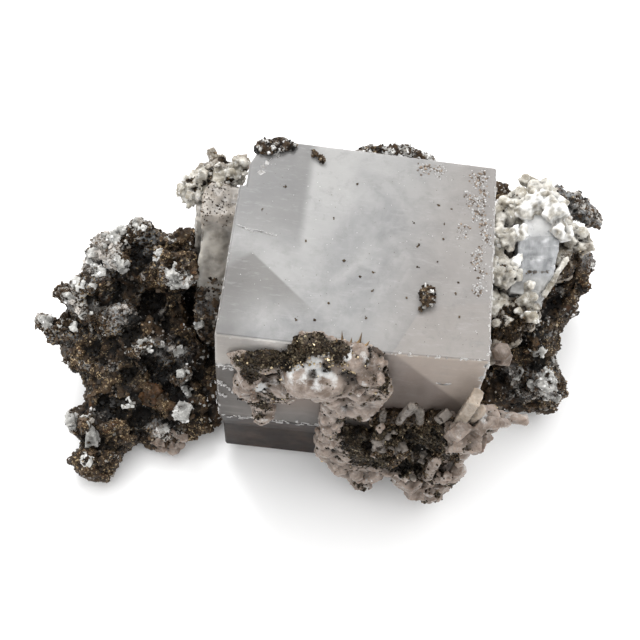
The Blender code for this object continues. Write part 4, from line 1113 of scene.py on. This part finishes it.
# %% Where the front crust is dark, brassy, white and pushed
# Each row: x, y, z, radius, and how strong the spot or how deep the push is.
CRUST_PYRITE = [
    (-18.7, -23.2, 51.4, 1.3, 1), (-16.5, -23.3, 51.7, 1.8, 1.2), (-14.7, -22.8, 52.5, 2, 1.2),
    (-12.8, -22.2, 52.5, 2, 1.2), (-11, -21.9, 53, 1.9, 1.2), (-9.5, -21.9, 54.4, 1.7, 1.2),
    (-8.4, -21, 55.7, 1.8, 1.2), (-7, -20, 56.2, 1.8, 1.1), (-5.6, -20.1, 56.2, 1.5, 1),
    (-6.6, -21, 56, 1.5, 1), (-2.6, -20.9, 55.6, 1.7, 1.2), (-1.7, -20.5, 55.5, 1.3, 1),
    (-17, -23.3, 48.9, 1.6, 0.9), (-16.3, -23.7, 47.5, 1.3, 0.8), (-13.1, -25.1, 41.2, 2.2, 0.8),
    (-14.7, -25.1, 36.5, 1.9, 1), (6.3, -22.3, 51.4, 1.2, 0.9), (6.8, -24.1, 49.8, 1.4, 0.8),
    (5, -24.2, 51, 1.8, 0.5), (1.6, -24.7, 30.5, 2.6, 1.1), (2.4, -26.6, 25.5, 2.2, 0.9),
    (4.6, -25.7, 29, 3, 1.1), (9.1, -25.8, 30.8, 3.4, 1.1), (11.4, -25.8, 26.4, 3.4, 1.1),
    (12.5, -24, 32, 3.4, 1.1), (14.4, -25.7, 32.1, 3.4, 1.1), (16.4, -25.1, 33.6, 3, 1.1),
    (17.7, -24.3, 34.3, 2.2, 1), (9, -27.2, 22.9, 3.2, 1.1), (5.5, -26.8, 21.5, 3.2, 1),
    (14.5, -26.5, 22, 3.2, 1), (19, -25.5, 31, 3, 1), (8, -23.5, 34.5, 2.6, 1.2), (11, -23.5, 36, 2.6, 1.2),
    (14, -23.5, 36.5, 2.6, 1.2), (17, -23, 36.5, 2.4, 1.2), (5, -25, 33, 2.4, 1), (0, -25.4, 36.8, 1.6, 1),
    (2.5, -24.5, 38, 1.6, 1), (22.5, -27, 15, 2.2, 0.9), (20.8, -28, 9.8, 0.9, 1.1),
    (18.1, -27.5, 11.1, 0.8, 1.1), (27.4, -23.5, 36, 1.6, 1.1), (21.5, -26.5, 29, 1.8, 0.8),
    (5.3, -28.1, 9.1, 1.6, 0.8), (17.5, -26.5, 18, 2.5, 0.8), (19.5, -26.5, 25, 2.4, 0.8),
]
CRUST_BRASS = [
    (-10.3, -22.5, 51.3, 1.1, 1), (-8.7, -22.7, 52.2, 1.1, 1), (-7.3, -22.7, 53.3, 1, 1),
    (-4.4, -22.5, 54.1, 1.1, 1), (-2.7, -22.7, 53.7, 1.1, 1), (-0.8, -23.3, 53.9, 1.1, 1),
    (0.4, -23.6, 53, 1, 1), (-12.1, -23.2, 50.5, 1, 0.8), (-14.7, -24.2, 45, 1, 0.8),
    (-6.6, -20.6, 56.2, 1.4, 0.6), (1, -21.5, 55.8, 1, 0.8), (9, -26, 29.5, 4, 0.4),
    (-17.6, -23.2, 51, 0.8, 0.6),
]
CRUST_WHITE = [
    (-5.8, -22.5, 54.8, 1.2, 1), (-0.8, -21.3, 55.5, 1, 1), (-4.3, -21.3, 55.8, 1, 1),
    (-8.3, -23.2, 52.3, 0.7, 1), (-6.6, -23.3, 52.9, 0.8, 1), (2.1, -22, 55.5, 1.1, 0.5),
    (-14.5, -24.4, 43.8, 1.1, 0.9), (-13.6, -23.9, 45.8, 1.3, 0.6), (-10.9, -24.7, 49.5, 0.7, 0.6),
    (-9.7, -23.8, 51.2, 0.8, 0.7), (-4.9, -23.6, 52.7, 0.7, 0.9), (-3.6, -23.8, 52.3, 0.7, 0.9),
    (-2.4, -24.2, 51.8, 0.7, 0.7), (-6.4, -24.5, 51.7, 2.2, 0.66), (-4, -24.9, 51.2, 1.6, 0.3),
    (24.7, -24, 40.6, 1.1, 0.5), (-18.6, -24.3, 37, 1, 0.8),
]
CRUST_GREY = [
    (-6, -24.6, 52, 1.2, 1), (-10, -24, 45, 3, 0.7), (-13, -24.5, 39, 2, 0.8), (2, -24, 43, 2.5, 0.5),
]
CRUST_SHAPE = [
    (-7.8, -25, 50.2, 4.5, 0.8), (-3, -25.3, 50, 4.5, 0.6), (-6, -24.4, 52.3, 1.5, -0.6),
    (14.5, -27, 28.5, 3.5, -2.5), (-10.8, -20.5, 55.2, 3, -2), (12, -24.5, 34.5, 4, 2),
    (17, -24.3, 35.5, 4, 2), (2, -25, 30.6, 2.5, -2.6), (11.5, -27, 24.2, 3, -2.6), (9, -25.5, 35, 3, -1.5),
    (6, -26.5, 26.5, 2.5, -2.2), (9.5, -26, 31.5, 2.2, -2), (15, -26.5, 27, 2.6, -2.2),
    (13, -25.5, 33, 2.2, -1.8), (18.5, -26, 31, 2.4, -1.8),
]
print("crust spots:", len(CRUST_PYRITE + CRUST_BRASS + CRUST_WHITE + CRUST_GREY + CRUST_SHAPE))

# %% [markdown]
# The crust itself is blush-coloured calcite, lumpy and worn, with one smooth, pillow-shaped crystal at its
# middle. The pillow could be a piece of its own, but it has grown out of the crust without a seam. So the
# lumps are weighted by a vertex group that fades out on it.

# %% The front crust
PILLOW, PILLOW_SHAPE = (-5.4, -25, 50), (1.5, 1, 0.9)
crust = copy_of("front_crystal_crust", voxel=0.32)
fixed(crust)
push(crust, CRUST_SHAPE)
rough_part = crust.vertex_groups.new(name="rough")
away = np.linalg.norm((points_of(crust) - PILLOW) / PILLOW_SHAPE, axis=1)
for index, share in enumerate(np.clip(away / 2.5 - 0.9, 0.1, 1).tolist()):
    rough_part.add([index], share, "REPLACE")
for kind, size, depth, level in (("CLOUDS", 4, 1.4, 0.5), ("VORONOI", 2.4, -0.9, 0.2),
                                 ("CLOUDS", 1.3, 0.5, 0.5)):
    lumps(crust, kind, size, depth, level)
    crust.modifiers[-1].vertex_group = "rough"
lumps(crust, "CLOUDS", 0.5, 0.12)
fixed(crust)
write(crust, "open", (points_of(crust)[:, 2] > 1) & in_the_open(crust, "front_crystal_crust"))
dress(crust, blush, "calcite", "front_crystal_crust", reach=0.7, rounds=40,
      gold=(-0.1, CRUST_PYRITE, 1.3, 1, 31, 0.4), brass=(-0.2, CRUST_BRASS, 1.5, 0.7, 39),
      grey=(-0.6, CRUST_GREY, 2, 1.2, 38), pale=(0.5, [(*PILLOW, 3.5, -2)], 2, 0.8, 32),
      white=(-0.2, CRUST_WHITE, 1.8, 0.9, 33))
scatter("crust_pyrite", crust, soot_grains, 33, 15, (0.14, 0.44), "gold", "open")
scatter("crust_brass", crust, brass_grains, 40, 7, (0.15, 0.42), "brass", "open")
scatter("crust_grains", crust, blush_grains, 34, 1.6, (0.16, 0.5), "pale", "open", (-0.3, 0))

# %% [markdown]
# The lower crust carries larger crystals: a row of rounded ones along its top, single rhombs and prisms
# at its sides, and crowds of small ones between. They are softened more than the rock's, because these
# crystals are worn and waxy.

# %% Crystals of the front crust
# Each single one: kind, foot, size, direction and perhaps twist. Each lump: x, y, z and size.
FRONT_SINGLES = [
    ("rhomb", (20.2, -25.6, 37), (3.4, 2.6, 3.8), (0.1, -0.3, 1), 0.5),
    ("rhomb", (23.4, -24.8, 37.5), (2.6, 2.2, 3.4), (0.3, -0.3, 1), 0.2),
    ("prism", (25, -23.8, 40), (2, 1.7, 5.4), (1, 0.16, -0.5)),
    ("prism", (17.2, -28, 19), (2.5, 2.2, 12.6), (0.07, 0, 1), 0.3),
    ("prism", (9.9, -28, 22.5), (1.4, 1.3, 8.2), (0.33, 0.05, 1)),
]
FRONT_LUMPS = [
    (22.6, -26, 34.5, 2.8), (22.8, -26.2, 31, 2.4), (22, -26.6, 28, 2.6), (22.6, -26.3, 25, 2.2),
    (22.6, -27, 22, 2.6), (13.5, -28, 17, 3), (15.6, -28, 12.5, 2.6), (19.5, -27.6, 9, 3),
    (21.6, -27.2, 11, 2.4), (4.2, -27, 14, 3), (1.2, -26.8, 15.5, 3), (7, -27, 14.5, 2.4),
    (9.4, -27.6, 29, 1.4), (6.6, -27.4, 27.2, 1.3), (12.6, -27.2, 29.4, 1.3), (21.8, -27.2, 18, 2.2),
]
# Each patch: x, y, z, spread, how many, and the smallest and largest.
FRONT_HEADS = [
    (3.5, -25, 50, 3.4, 14, 0.6, 1.6), (22.4, -26, 30, 2.6, 22, 0.7, 1.6), (5, -27, 14, 3.4, 14, 0.7, 1.6),
    (21.5, -27.5, 20, 3, 16, 0.7, 1.8), (10, -25.8, 29.5, 4.5, 26, 0.6, 1.4),
    (17.5, -28, 12, 3, 16, 0.7, 1.6), (-15.5, -25, 42, 2.6, 12, 0.6, 1.3),
    (-1.5, -26.5, 28, 3.4, 12, 0.6, 1.5),
]


def front_crystals(bm):
    dice = random.Random(9)
    # The row of rounded crystals climbs to the right.
    for across in range(9):
        place = (5.5 + 1.7 * across, -22.6, 33.5 + 0.25 * across + dice.uniform(-0.4, 0.6))
        crystal(bm, "ball", place, (3.6, 2.4, 5 + dice.uniform(0, 1.6)), (dice.uniform(-0.4, 0.4), 0, 1))
    for row in FRONT_SINGLES:
        crystal(bm, *row)
    for x, y, z, size in FRONT_LUMPS:
        crystal(bm, dice.choice(("ball", "ball", "rhomb")), (x, y, z),
                [size * dice.uniform(0.8, 1.2) for _ in range(3)], [dice.uniform(-1, 1) for _ in range(3)])
    for row in FRONT_HEADS:
        patch(bm, crust, dice, ("ball", "ball", "rhomb"), 0.5, *row)


piece = crystal_piece(front_crystals, voxel=0.27, wear=0.35, rounds=4)
write(piece, "open", in_the_open(piece, "front_crystal_crust"))
dress(piece, blush, "calcite", gold=(-0.25, CRUST_PYRITE, 1.3, 1, 35, 0.3),
      white=(-0.2, CRUST_WHITE, 2.5, 0.9, 41), pale=(0.4, (), 2, 1, 36))
scatter("front_crystals_grains", piece, blush_grains, 37, 1.2, (0.16, 0.45), "pale", "open", (-0.2, 0))
scatter("front_crystals_dust", piece, pyrite_grains, 38, 11.5, (0.14, 0.4), "gold", "open")

# %% [markdown]
# Grey prisms stand up out of the dark part of the crust, and one pale blade leans at its right end. Their
# colours set them apart, so they are two more pieces.

# %% Prisms and the pale blade
# Each row: kind, foot, size, direction and perhaps twist.
PRISMS = [
    ("prism", (7, -24.6, 36), (1.3, 1.2, 6), (-0.02, -0.05, 1)),
    ("prism", (9.8, -24.4, 36), (1.9, 1.6, 10.5), (0.16, -0.06, 1), 0.3),
    ("prism", (11.2, -24.6, 40.5), (1.3, 1.2, 6), (0.16, -0.06, 1), 0.5),
    ("prism", (13.7, -24.4, 37), (1.8, 1.6, 7.4), (-0.1, -0.06, 1)),
    ("rhomb", (17.3, -23.4, 38.7), (2.2, 1.7, 2.4), (0.2, -0.4, 0.9), 0.4),
]
BLADE = [
    ("rhomb", (20.6, -23.2, 36), (3, 2, 13.4), (0.1, -0.05, 1), 0.1),
    ("prism", (22.4, -23.6, 39), (2.2, 1.8, 6.5), (0.2, -0.05, 1), 0.5),
]


def front_prisms(bm):
    for row in PRISMS:
        crystal(bm, *row)
    # Each patch: its seed, x, y, z, spread, how many, and the smallest and largest.
    for seed, *row in ((10, 9, -26, 28.5, 4.5, 26, 0.7, 1.8), (11, 15.5, -26.5, 24, 3, 14, 0.7, 1.7)):
        patch(bm, crust, random.Random(seed), ("rhomb", "ball", "prism"), 0.5, *row)


def pale_blade(bm):
    for row in BLADE:
        crystal(bm, *row)


for fill, finish, gold in ((front_prisms, smoky, 0.05), (pale_blade, cream, -0.4)):
    piece = crystal_piece(fill, voxel=0.26, wear=0.45, rounds=3)
    dress(piece, finish, "calcite", gold=(gold, (), 1, 1.2, 42))

# %% [markdown]
# Four small crusts lie on the cube's back edge and top. They are pyrite with a few pale chips, so they
# take the rock's finish, finer lumps, and their own grains.

# %% Crusts on the cube's top
for node, pale, seed in (("back_pyrite_crust", 0.5, 41), ("corner_pyrite_crust", 0.4, 42),
                         ("small_pyrite_cluster", 0, 43), ("large_pyrite_cluster", 0.1, 44)):
    piece = copy_of(node, voxel=0.22)
    lumps(piece, "VORONOI", 1.4, -0.9, 0.15)
    lumps(piece, "VORONOI", 0.7, -0.35, 0.15)
    fixed(piece)
    dress(piece, matrix_finish, "pyrite", node, reach=0.5, rounds=20,
          gold=(0.75 - pale, (), 2, 0.7, seed), pale=(pale, (), 1.3, 0.9, seed + 5))
    scatter(node + "_grains", piece, pyrite_grains, seed + 10, 8, (0.14, 0.38), "gold")
    scatter(node + "_crumbs", piece, crumb_grains, seed + 30, 4, (0.2, 0.5))
    if pale:
        scatter(node + "_chips", piece, ice_grains, seed + 20, 3.2, (0.2, 0.7), "pale")

# %% [markdown]
# The block beside the cube is smooth and only gently uneven. Dark grains freckle its top, and crumbs and
# pyrite climb its foot out of the rock. The freckles could be colour alone, but grains also roughen its
# outline.

# %% The calcite block
FOOT_TOP, FRECKLED_FROM = 31.5, 39.5
# Each dent: x, y, z, radius and depth.
BLOCK_DENTS = [(-33.5, 8, 37.5, 4.5, -1.5), (-24, 6, 38, 5, -1), (-31, -1, 30, 5, -1.2)]
block = copy_of("left_calcite_block", voxel=0.35)
fixed(block)
push(block, BLOCK_DENTS)
lumps(block, "CLOUDS", 3, 1.4, 0.6)
lumps(block, "CLOUDS", 0.8, 0.3)
fixed(block)
where = points_of(block)
foot = np.clip((FOOT_TOP - where[:, 2]) / 4 + soft_noise(where, 2.5, 52) * 0.8, 0, 1)
write(block, "low", foot * in_the_open(block, "left_calcite_block"))
write(block, "open", np.clip((where[:, 2] - FRECKLED_FROM) / 2, 0, 1))
dress(block, block_finish, "calcite", "left_calcite_block", reach=0.8, rounds=40,
      freckles=(0.6, (), 1.8, 1.4, 51))
scatter("block_crumbs", block, crumb_grains, 54, 2.4, (0.3, 1), region="low")
scatter("block_pyrite", block, pyrite_grains, 55, 3.4, (0.16, 0.47), region="low")
scatter("block_freckles", block, crumb_grains, 50, 9, (0.1, 0.3), "freckles", "open", slot="pyrite")

# %% [markdown]
# The clear crystal gets a line of brassy grains along a healed crack. Its outline is frosted: white heads
# and steps stand round its edges, where it grew into its neighbours.

# %% The clear crystal and its frost
# Each spot: x, y, z, radius and strength. Each patch: x, y, z, spread, how many, smallest, largest.
CLEAR_BRASS = [
    (33.2, 10.5, 34.8, 0.5, 1), (34.4, 10.6, 35, 0.5, 1), (35.6, 10.7, 35.1, 0.5, 1),
    (36.6, 10.8, 35.1, 0.4, 1), (30.6, 10.3, 34.8, 0.5, 1), (31.6, 10.3, 34.8, 0.4, 1),
]
FROST_HEADS = [
    (30.4, 22, 38.3, 1.4, 18, 1.2, 3), (30.4, 17.5, 37, 1.4, 15, 1, 2.4),
    (33.5, 24.8, 38.9, 1.8, 24, 1.4, 3.2), (37.5, 23.5, 38.5, 1.6, 21, 1.4, 3.2),
    (38.2, 19, 37, 1.2, 15, 1, 2.4), (31, 12.5, 35.5, 0.9, 9, 0.8, 1.8),
]
clear = copy_of("right_clear_crystal", voxel=0.35)
fixed(clear)
lumps(clear, "CLOUDS", 3, 1.4, 0.6)
lumps(clear, "CLOUDS", 0.8, 0.3)
fixed(clear)
dress(clear, quartz, "clear_quartz", "right_clear_crystal", reach=0.8, rounds=40,
      gold=(-0.3, CLEAR_BRASS, 1.5, 0.5, 56))
scatter("clear_crystal_brass", clear, brass_grains, 57, 9, (0.2, 0.45), "gold")


def clear_crystal_frost(bm):
    dice = random.Random(14)
    for row in FROST_HEADS:
        patch(bm, clear, dice, ("ball", "ball", "rhomb"), 0.3, *row)


piece = crystal_piece(clear_crystal_frost, voxel=0.3, wear=0.7, rounds=3)
dress(piece, white, "calcite", reach=0.8, rounds=12, tint=(0.75, (), 1.5, 0.8, 58))

# %% [markdown]
# White lumps crowd round the clear crystal and down the cube's right side, a thin blade leans across
# them, and one round crystal hangs lower down. Each row names the piece that its lumps stand on.

# %% Lumps on the right
# Each patch: its host, x, y, z, spread, how many, and the smallest and largest.
RIGHT_HEADS = [
    ("clear", 29, 24, 37, 1.8, 15, 1.2, 2.4), ("white", 34.5, 28, 38.5, 2.2, 18, 1.4, 2.8),
    ("white", 40.5, 22.5, 34.5, 2, 18, 1.4, 3), ("white", 28.5, 16.5, 36.5, 1.6, 16, 1, 2.2),
    ("clear", 30.2, 9.5, 34.5, 1.8, 15, 1, 2.2), ("clear", 33.5, 5.6, 32.5, 2.2, 16, 1, 2.2),
    ("white", 32.1, -0.5, 27, 1.4, 13, 1.2, 2.4), ("white", 28.5, 21, 32.5, 1.4, 12, 1.4, 2.6),
    ("white", 28, 9, 34.5, 2.4, 21, 1.2, 2.4), ("white", 43.5, 21.5, 31.5, 1.8, 18, 1.4, 3),
    ("white", 39.4, 15.6, 32.5, 0.7, 7, 1, 2), ("white", 30, 2, 30, 2.4, 21, 1, 2.4),
    ("white", 34, 3.5, 29.5, 1.8, 15, 1, 2.2),
]
LUMPS_SHADE_BELOW = 34


def right_lumps(bm):
    dice = random.Random(13)
    hosts = {"clear": clear, "white": right_whites}
    for host, *row in RIGHT_HEADS:
        patch(bm, hosts[host], dice, ("ball", "rhomb", "ball", "prism"), 0.6, *row)
    # The thin blade is a row of rhombs that melt together.
    for step in range(9):
        place = (40.2 - 0.42 * step, 14.6 - 0.85 * step, 33.4 - 0.3 * step)
        crystal(bm, "rhomb", place, (1.1, 1, 1.5), (0.1, -0.2, 1), 0.3 * step)


def round_crystal(bm):
    crystal(bm, "prism", (29, -3.6, 27.2), (4, 3.8, 3), (0.1, -0.45, 0.9), 0.3)
    crystal(bm, "rhomb", (29.6, -4.6, 26.6), (2.4, 2.2, 2.2), (0.5, -0.6, 0.6), 0.9)


dress(crystal_piece(round_crystal, voxel=0.25, wear=0.25), blush, "calcite")
piece = crystal_piece(right_lumps, voxel=0.29, wear=0.6, rounds=2)
where = points_of(piece)
# The grey painted here is painted shade, deeper towards the foot.
write(piece, "grey", np.clip((LUMPS_SHADE_BELOW - where[:, 2]) / 4 + 0.7 * soft_noise(where, 2, 57), 0, 0.85))
dress(piece, white, "calcite", gold=(-0.15, RIGHT_DUST, 2, 0.9, 59, 0.8))
scatter("right_lumps_dust", piece, pyrite_grains, 60, 5, (0.15, 0.38), "gold")

# %% [markdown]
# The cube keeps its flat faces, but its edges are chipped. Small turned cubes are cut out of it along them
# with a Boolean, which can carry the cutters' frosted finish over to the breaks. A bevel would round the
# edge evenly, which no broken crystal does.

# %% The cube and its chips
# Each row: the two ends of an edge, how many chips it has and how large they are.
CHIPPED = [
    ((22.9, -19.5, 54.4), (22.9, 19, 54.4), 46, 0.55), ((6, -19.9, 54.4), (22.9, -19.3, 54.4), 16, 0.4),
    ((22.9, -19.4, 54), (22.7, -20.8, 44), 22, 0.7), ((-22.8, -20.2, 54.2), (8, -19.9, 54.4), 12, 0.35),
    ((-22.8, -21.7, 46.4), (-17, -21.7, 46.4), 16, 0.8),
    ((-22.8, -23.3, 27.5), (-2.5, -23.3, 27.5), 40, 0.6), ((-23, -19, 54.2), (-23, 12, 54.2), 14, 0.4),
    ((-22.9, -22.4, 41), (-22.9, -23.2, 28), 12, 0.5), ((-20, 12.8, 54.4), (-16, 19.5, 54.4), 8, 0.7),
    ((-6, 20.6, 54.4), (22, 20, 54.4), 16, 0.5),
]


def along_edge(dice, first, last, jitter):
    """A random place along an edge."""
    share = dice.random()
    return [a + (b - a) * share + dice.uniform(-jitter, jitter) for a, b in zip(first, last)]


def chip_cutters(bm):
    dice = random.Random(3)
    for first, last, count, size in CHIPPED:
        for _ in range(count):
            place = along_edge(dice, first, last, 0.15)
            sides = [size * dice.uniform(0.4, 1.3) for _ in range(3)]
            turned = Vector([dice.uniform(-1, 1) for _ in range(3)])
            crystal(bm, "cube", place, sides, turned, dice.uniform(0, 3))


def loose(fill, finish):
    """What fill adds, left as sharp single crystals."""
    piece = filled(fill)
    piece.data.materials.append(finish.material)
    return piece


cutters = loose(chip_cutters, frosted)
cube = copy_of("fluorite_cube")
cube.data.materials.append(fluorite.material)
cut = cube.modifiers.new("chips", "BOOLEAN")
cut.operation, cut.solver, cut.object = "DIFFERENCE", "EXACT", cutters
cut.use_self, cut.material_mode = True, "TRANSFER"
fixed(cube, smooth=False)
bpy.data.objects.remove(cutters)
hand_in(cube, None, "fluorite", "fluorite_cube")
print("materials on the cube:", [slot.name for slot in cube.material_slots])

# %% [markdown]
# Pyrite settled on the top face while the cube grew: a few grains at known places, a haze of tiny ones,
# and a drift of brown and pale dust along the right edge. Each is a small cube half sunk in the face,
# since a painted dot would have no height when the light comes from the side.

# %% Specks on the cube
# The x and y of single specks, and of the middles of the drift's patches.
SPECKS = [
    (-2.1, 13), (-14.8, 10.7), (-18.3, 5.5), (-5.5, 5.3), (12.9, 10.4), (15.2, 9.9), (8.7, 6), (14, 6.5),
    (14.1, 3.4), (9.8, 1.6), (-9.9, -0.1), (-2.9, -3.3), (0.1, -6.1), (2.3, -4.8), (2.4, -8.6),
    (13.2, -1.4), (9.8, -2.9), (17, -5.1), (8.4, -9.2), (-4.7, -11.8), (-9.8, -15.7), (-6.8, -15.4),
    (1.8, -13.9), (20, -6.7), (17.6, -11.7), (16.7, -7.2),
]
DRIFT = [
    (19.3, 16.7), (20.2, 11.4), (18.4, 12.2), (21.2, 7.3), (17.4, 5.3), (20.6, 1), (21.1, -3), (20.5, -6.1),
    (19.6, 9.2), (20.8, 14.2), (12.6, 18), (9.9, 18.1), (21.8, 4.5), (20.2, 17.5), (19.8, -0.8),
]


def speck(bm, dice, x, y, low, high):
    """A grain of low to high mm, half sunk in the top face."""
    size = dice.uniform(low, high)
    crystal(bm, "cube", (x, y, CUBE_TOP - 0.5 * size), (size, size * dice.uniform(0.6, 1), size * 0.8),
            (dice.uniform(-0.5, 0.5), dice.uniform(-0.5, 0.5), 1), dice.uniform(0, 3))


def haze(bm, dice, count, high):
    """Tiny specks all over the top face."""
    for _ in range(count):
        speck(bm, dice, dice.uniform(-21, 22), dice.uniform(-18, 18), 0.06, high)


def drift(bm, dice, count, high):
    """Specks in the patches of dust along the right edge."""
    for _ in range(count):
        x, y = dice.choice(DRIFT)
        x, y = min(x + dice.gauss(0, 0.55), 22.4), min(y + dice.gauss(0, 0.9), 18.9)
        speck(bm, dice, x, y, 0.1, high)


def cube_specks(bm):
    dice = random.Random(17)
    for x, y in SPECKS:
        speck(bm, dice, x, y, 0.28, 0.48)
        for _ in range(dice.randint(0, 2)):
            speck(bm, dice, x + dice.uniform(-0.35, 0.35), y + dice.uniform(-0.35, 0.35), 0.15, 0.28)
    haze(bm, dice, count=110, high=0.13)


def cube_dust(bm):
    drift(bm, random.Random(18), count=330, high=0.38)


def cube_pale_dust(bm):
    dice = random.Random(19)
    drift(bm, dice, count=420, high=0.34)
    haze(bm, dice, count=90, high=0.15)


for fill, finish, tint, slot in ((cube_specks, pyrite, 0.35, "pyrite"), (cube_dust, tan_dust, 0.62, "pyrite"),
                                 (cube_pale_dust, frosted, 0.5, "fluorite")):
    piece = loose(fill, finish)
    for name, value in (("tint", tint), ("relief", 0.5)):
        write(piece, name, np.full(len(piece.data.vertices), value))
    hand_in(fixed(piece, smooth=False), None, slot)

# %% [markdown]
# A cleavage crack runs in from the cube's left edge, with white splinters along it, and splinters lie on
# the broken edges too, partly white breaks and partly a painted highlight where the edges catch the light.
# Low on the front, white bits mark cleavage steps and, as painted glints, the light on them; by the pillow
# a few thin blades of pyrite lean over the top edge. All are single crystals, so that each catches the
# light by itself.

# %% Crack, splinters and spikes
# The crack's corners on the top face, each row of steps (its ends, how many), each spike (x, length, lean).
CRACK = [
    (-22.1, 1.6), (-20.8, 1.2), (-19.5, 0.7), (-18.6, 0.9), (-17.7, 0.8), (-16.4, 0.4), (-15.2, 0.5),
]
STEPS = [
    ((-22.7, -21.7, 45.8), (-19.9, -21.8, 45.2), 9), ((-22.5, -22.2, 40.8), (-19.7, -22.6, 36.6), 14),
    ((-22.3, -22.6, 36), (-20.5, -22.8, 33.5), 6),
]
SPIKES = [
    (-1.6, 2.8, -0.15), (1, 3, 0.12), (0.4, 1.9, 0.45), (-2.3, 1.7, -0.4), (1.9, 1.8, 0.6),
    (-0.4, 1.8, 0.1),
]
SPLINTERS_EACH = 5


def cube_splinters(bm):
    dice = random.Random(23)
    for (x0, y0), (x1, y1) in zip(CRACK, CRACK[1:]):
        for step in range(SPLINTERS_EACH):
            share = step / SPLINTERS_EACH
            place = (x0 + (x1 - x0) * share + dice.uniform(-0.1, 0.1),
                     y0 + (y1 - y0) * share + dice.uniform(-0.12, 0.12), CUBE_TOP - 0.12)
            size = (dice.uniform(0.25, 0.7), dice.uniform(0.08, 0.2), 0.2)
            twist = math.atan2(y1 - y0, x1 - x0) + dice.uniform(-0.5, 0.5)
            crystal(bm, "cube", place, size, (0, 0, 1), twist)
    # Along the chipped edges the white splinters are partly a painted highlight.
    for first, last, count, size in CHIPPED:
        for _ in range(count):
            place = along_edge(dice, first, last, 0.25)
            across = 0.22 * size * dice.uniform(0.4, 1)
            crystal(bm, "cube", place, (across, across, size * dice.uniform(0.4, 2.2)),
                    Vector(last) - Vector(first), dice.uniform(0, 3))


def cube_sparks(bm):
    """White cleavage steps low on the cube's front left, partly painted glints, and a winged chip by its
    right corner.
    """
    dice = random.Random(29)
    for first, last, count in STEPS:
        for _ in range(count):
            share = dice.random()
            place = [a + (b - a) * share + dice.uniform(-0.3, 0.3) * (axis != 1)
                     for axis, (a, b) in enumerate(zip(first, last))]
            size = (dice.uniform(0.2, 0.9), 0.25, dice.uniform(0.12, 0.4))
            crystal(bm, "cube", place, size, (dice.uniform(-0.8, 0.8), 0, 1))
    for lean in (-1.1, -0.7, 0.5, 0.9, 1.3):
        crystal(bm, "cube", (16.4, -20.55, 45.7), (0.16, 0.25, dice.uniform(0.8, 1.8)), (lean, 0, 0.6))


def pyrite_spikes(bm):
    for x, length, lean in SPIKES:
        crystal(bm, "point", (x, -20, 55.1), (0.75, 0.5, length), (lean, 1, 0.22), 0.4)


hand_in(loose(pyrite_spikes, brassy), None, "pyrite")
for fill in (cube_sparks, cube_splinters):
    hand_in(fixed(loose(fill, frosted), smooth=False), None, "fluorite")

# %% [markdown]
# The camera looks down at the specimen from the front, turned a few degrees about its own line of sight.
# Its matrix is built from three directions, because those angles are easier to read than Euler angles.

# %% Camera
AZIMUTH, ELEVATION, ROLL = (math.radians(angle) for angle in (1.5, 62.5, 5))
LENS, FURTHEST_M = 62, 10
CAMERA_PLACE = spot(-3.6, -100.7, 218.75)
back = Vector((math.sin(AZIMUTH) * math.cos(ELEVATION), -math.cos(AZIMUTH) * math.cos(ELEVATION),
               math.sin(ELEVATION)))
right = (-back).cross(Vector((0, 0, 1))).normalized()
level = Matrix((right, right.cross(-back), back)).transposed()
lens = bpy.data.cameras.new("camera")
lens.lens, lens.clip_end = LENS, FURTHEST_M
camera = bpy.data.objects.new("camera", lens)
turned = (level @ Matrix.Rotation(ROLL, 3, "Z")).to_4x4()
camera.matrix_world = Matrix.Translation(CAMERA_PLACE) @ turned
scene.collection.objects.link(camera)
scene.camera = camera
print("camera at", [round(side, 3) for side in camera.matrix_world.translation])

# %% [markdown]
# The specimen stands on plain white paper. Paper in the same plane as the flat base would flicker against
# it, so it lies a hair lower.

# %% Floor
HALF_PAPER_M, BELOW_BASE = 1.5, 0.05 * MM
bm = bmesh.new()
bmesh.ops.create_grid(bm, x_segments=1, y_segments=1, size=HALF_PAPER_M)
floor = as_piece(bm, "floor")
floor.location.z = -BELOW_BASE
paper = Finish("paper", Roughness=0.8)
paper.set(Base_Color=paper.mix(paper.noise(40, 2), (0.93,) * 3, (0.95,) * 3))
floor.data.materials.append(paper.material)
print("floor is", [round(side, 1) for side in floor.dimensions[:2]], "m")

# %% [markdown]
# The light is a plain studio one: a large soft lamp overhead, a smaller one behind that brings out the
# relief, and a white world that fills the shadows.

# %% Light
# Each lamp: name, place and size in metres, and watts.
LAMPS = (("overhead", (0, 0.1, 1.2), 1.6, 16), ("back_key", (-0.2, 0.42, 0.62), 0.3, 2.6))
LIT_PLACE, SKY_STRENGTH = Vector((0, 0, 0.03)), 0.8
world = bpy.data.worlds.new("studio")
world.use_nodes = True
sky = world.node_tree.nodes["Background"]
sky.inputs["Color"].default_value, sky.inputs["Strength"].default_value = (1, 1, 1, 1), SKY_STRENGTH
scene.world = world
for name, place, size, watts in LAMPS:
    light = bpy.data.lights.new(name, "AREA")
    light.shape, light.size, light.energy = "SQUARE", size, watts
    lamp = bpy.data.objects.new(name, light)
    lamp.location = place
    lamp.rotation_euler = (LIT_PLACE - Vector(place)).to_track_quat("-Z", "Y").to_euler()
    scene.collection.objects.link(lamp)
    print(name, "lamp:", watts, "W")
scene.view_settings.view_transform = "Standard"
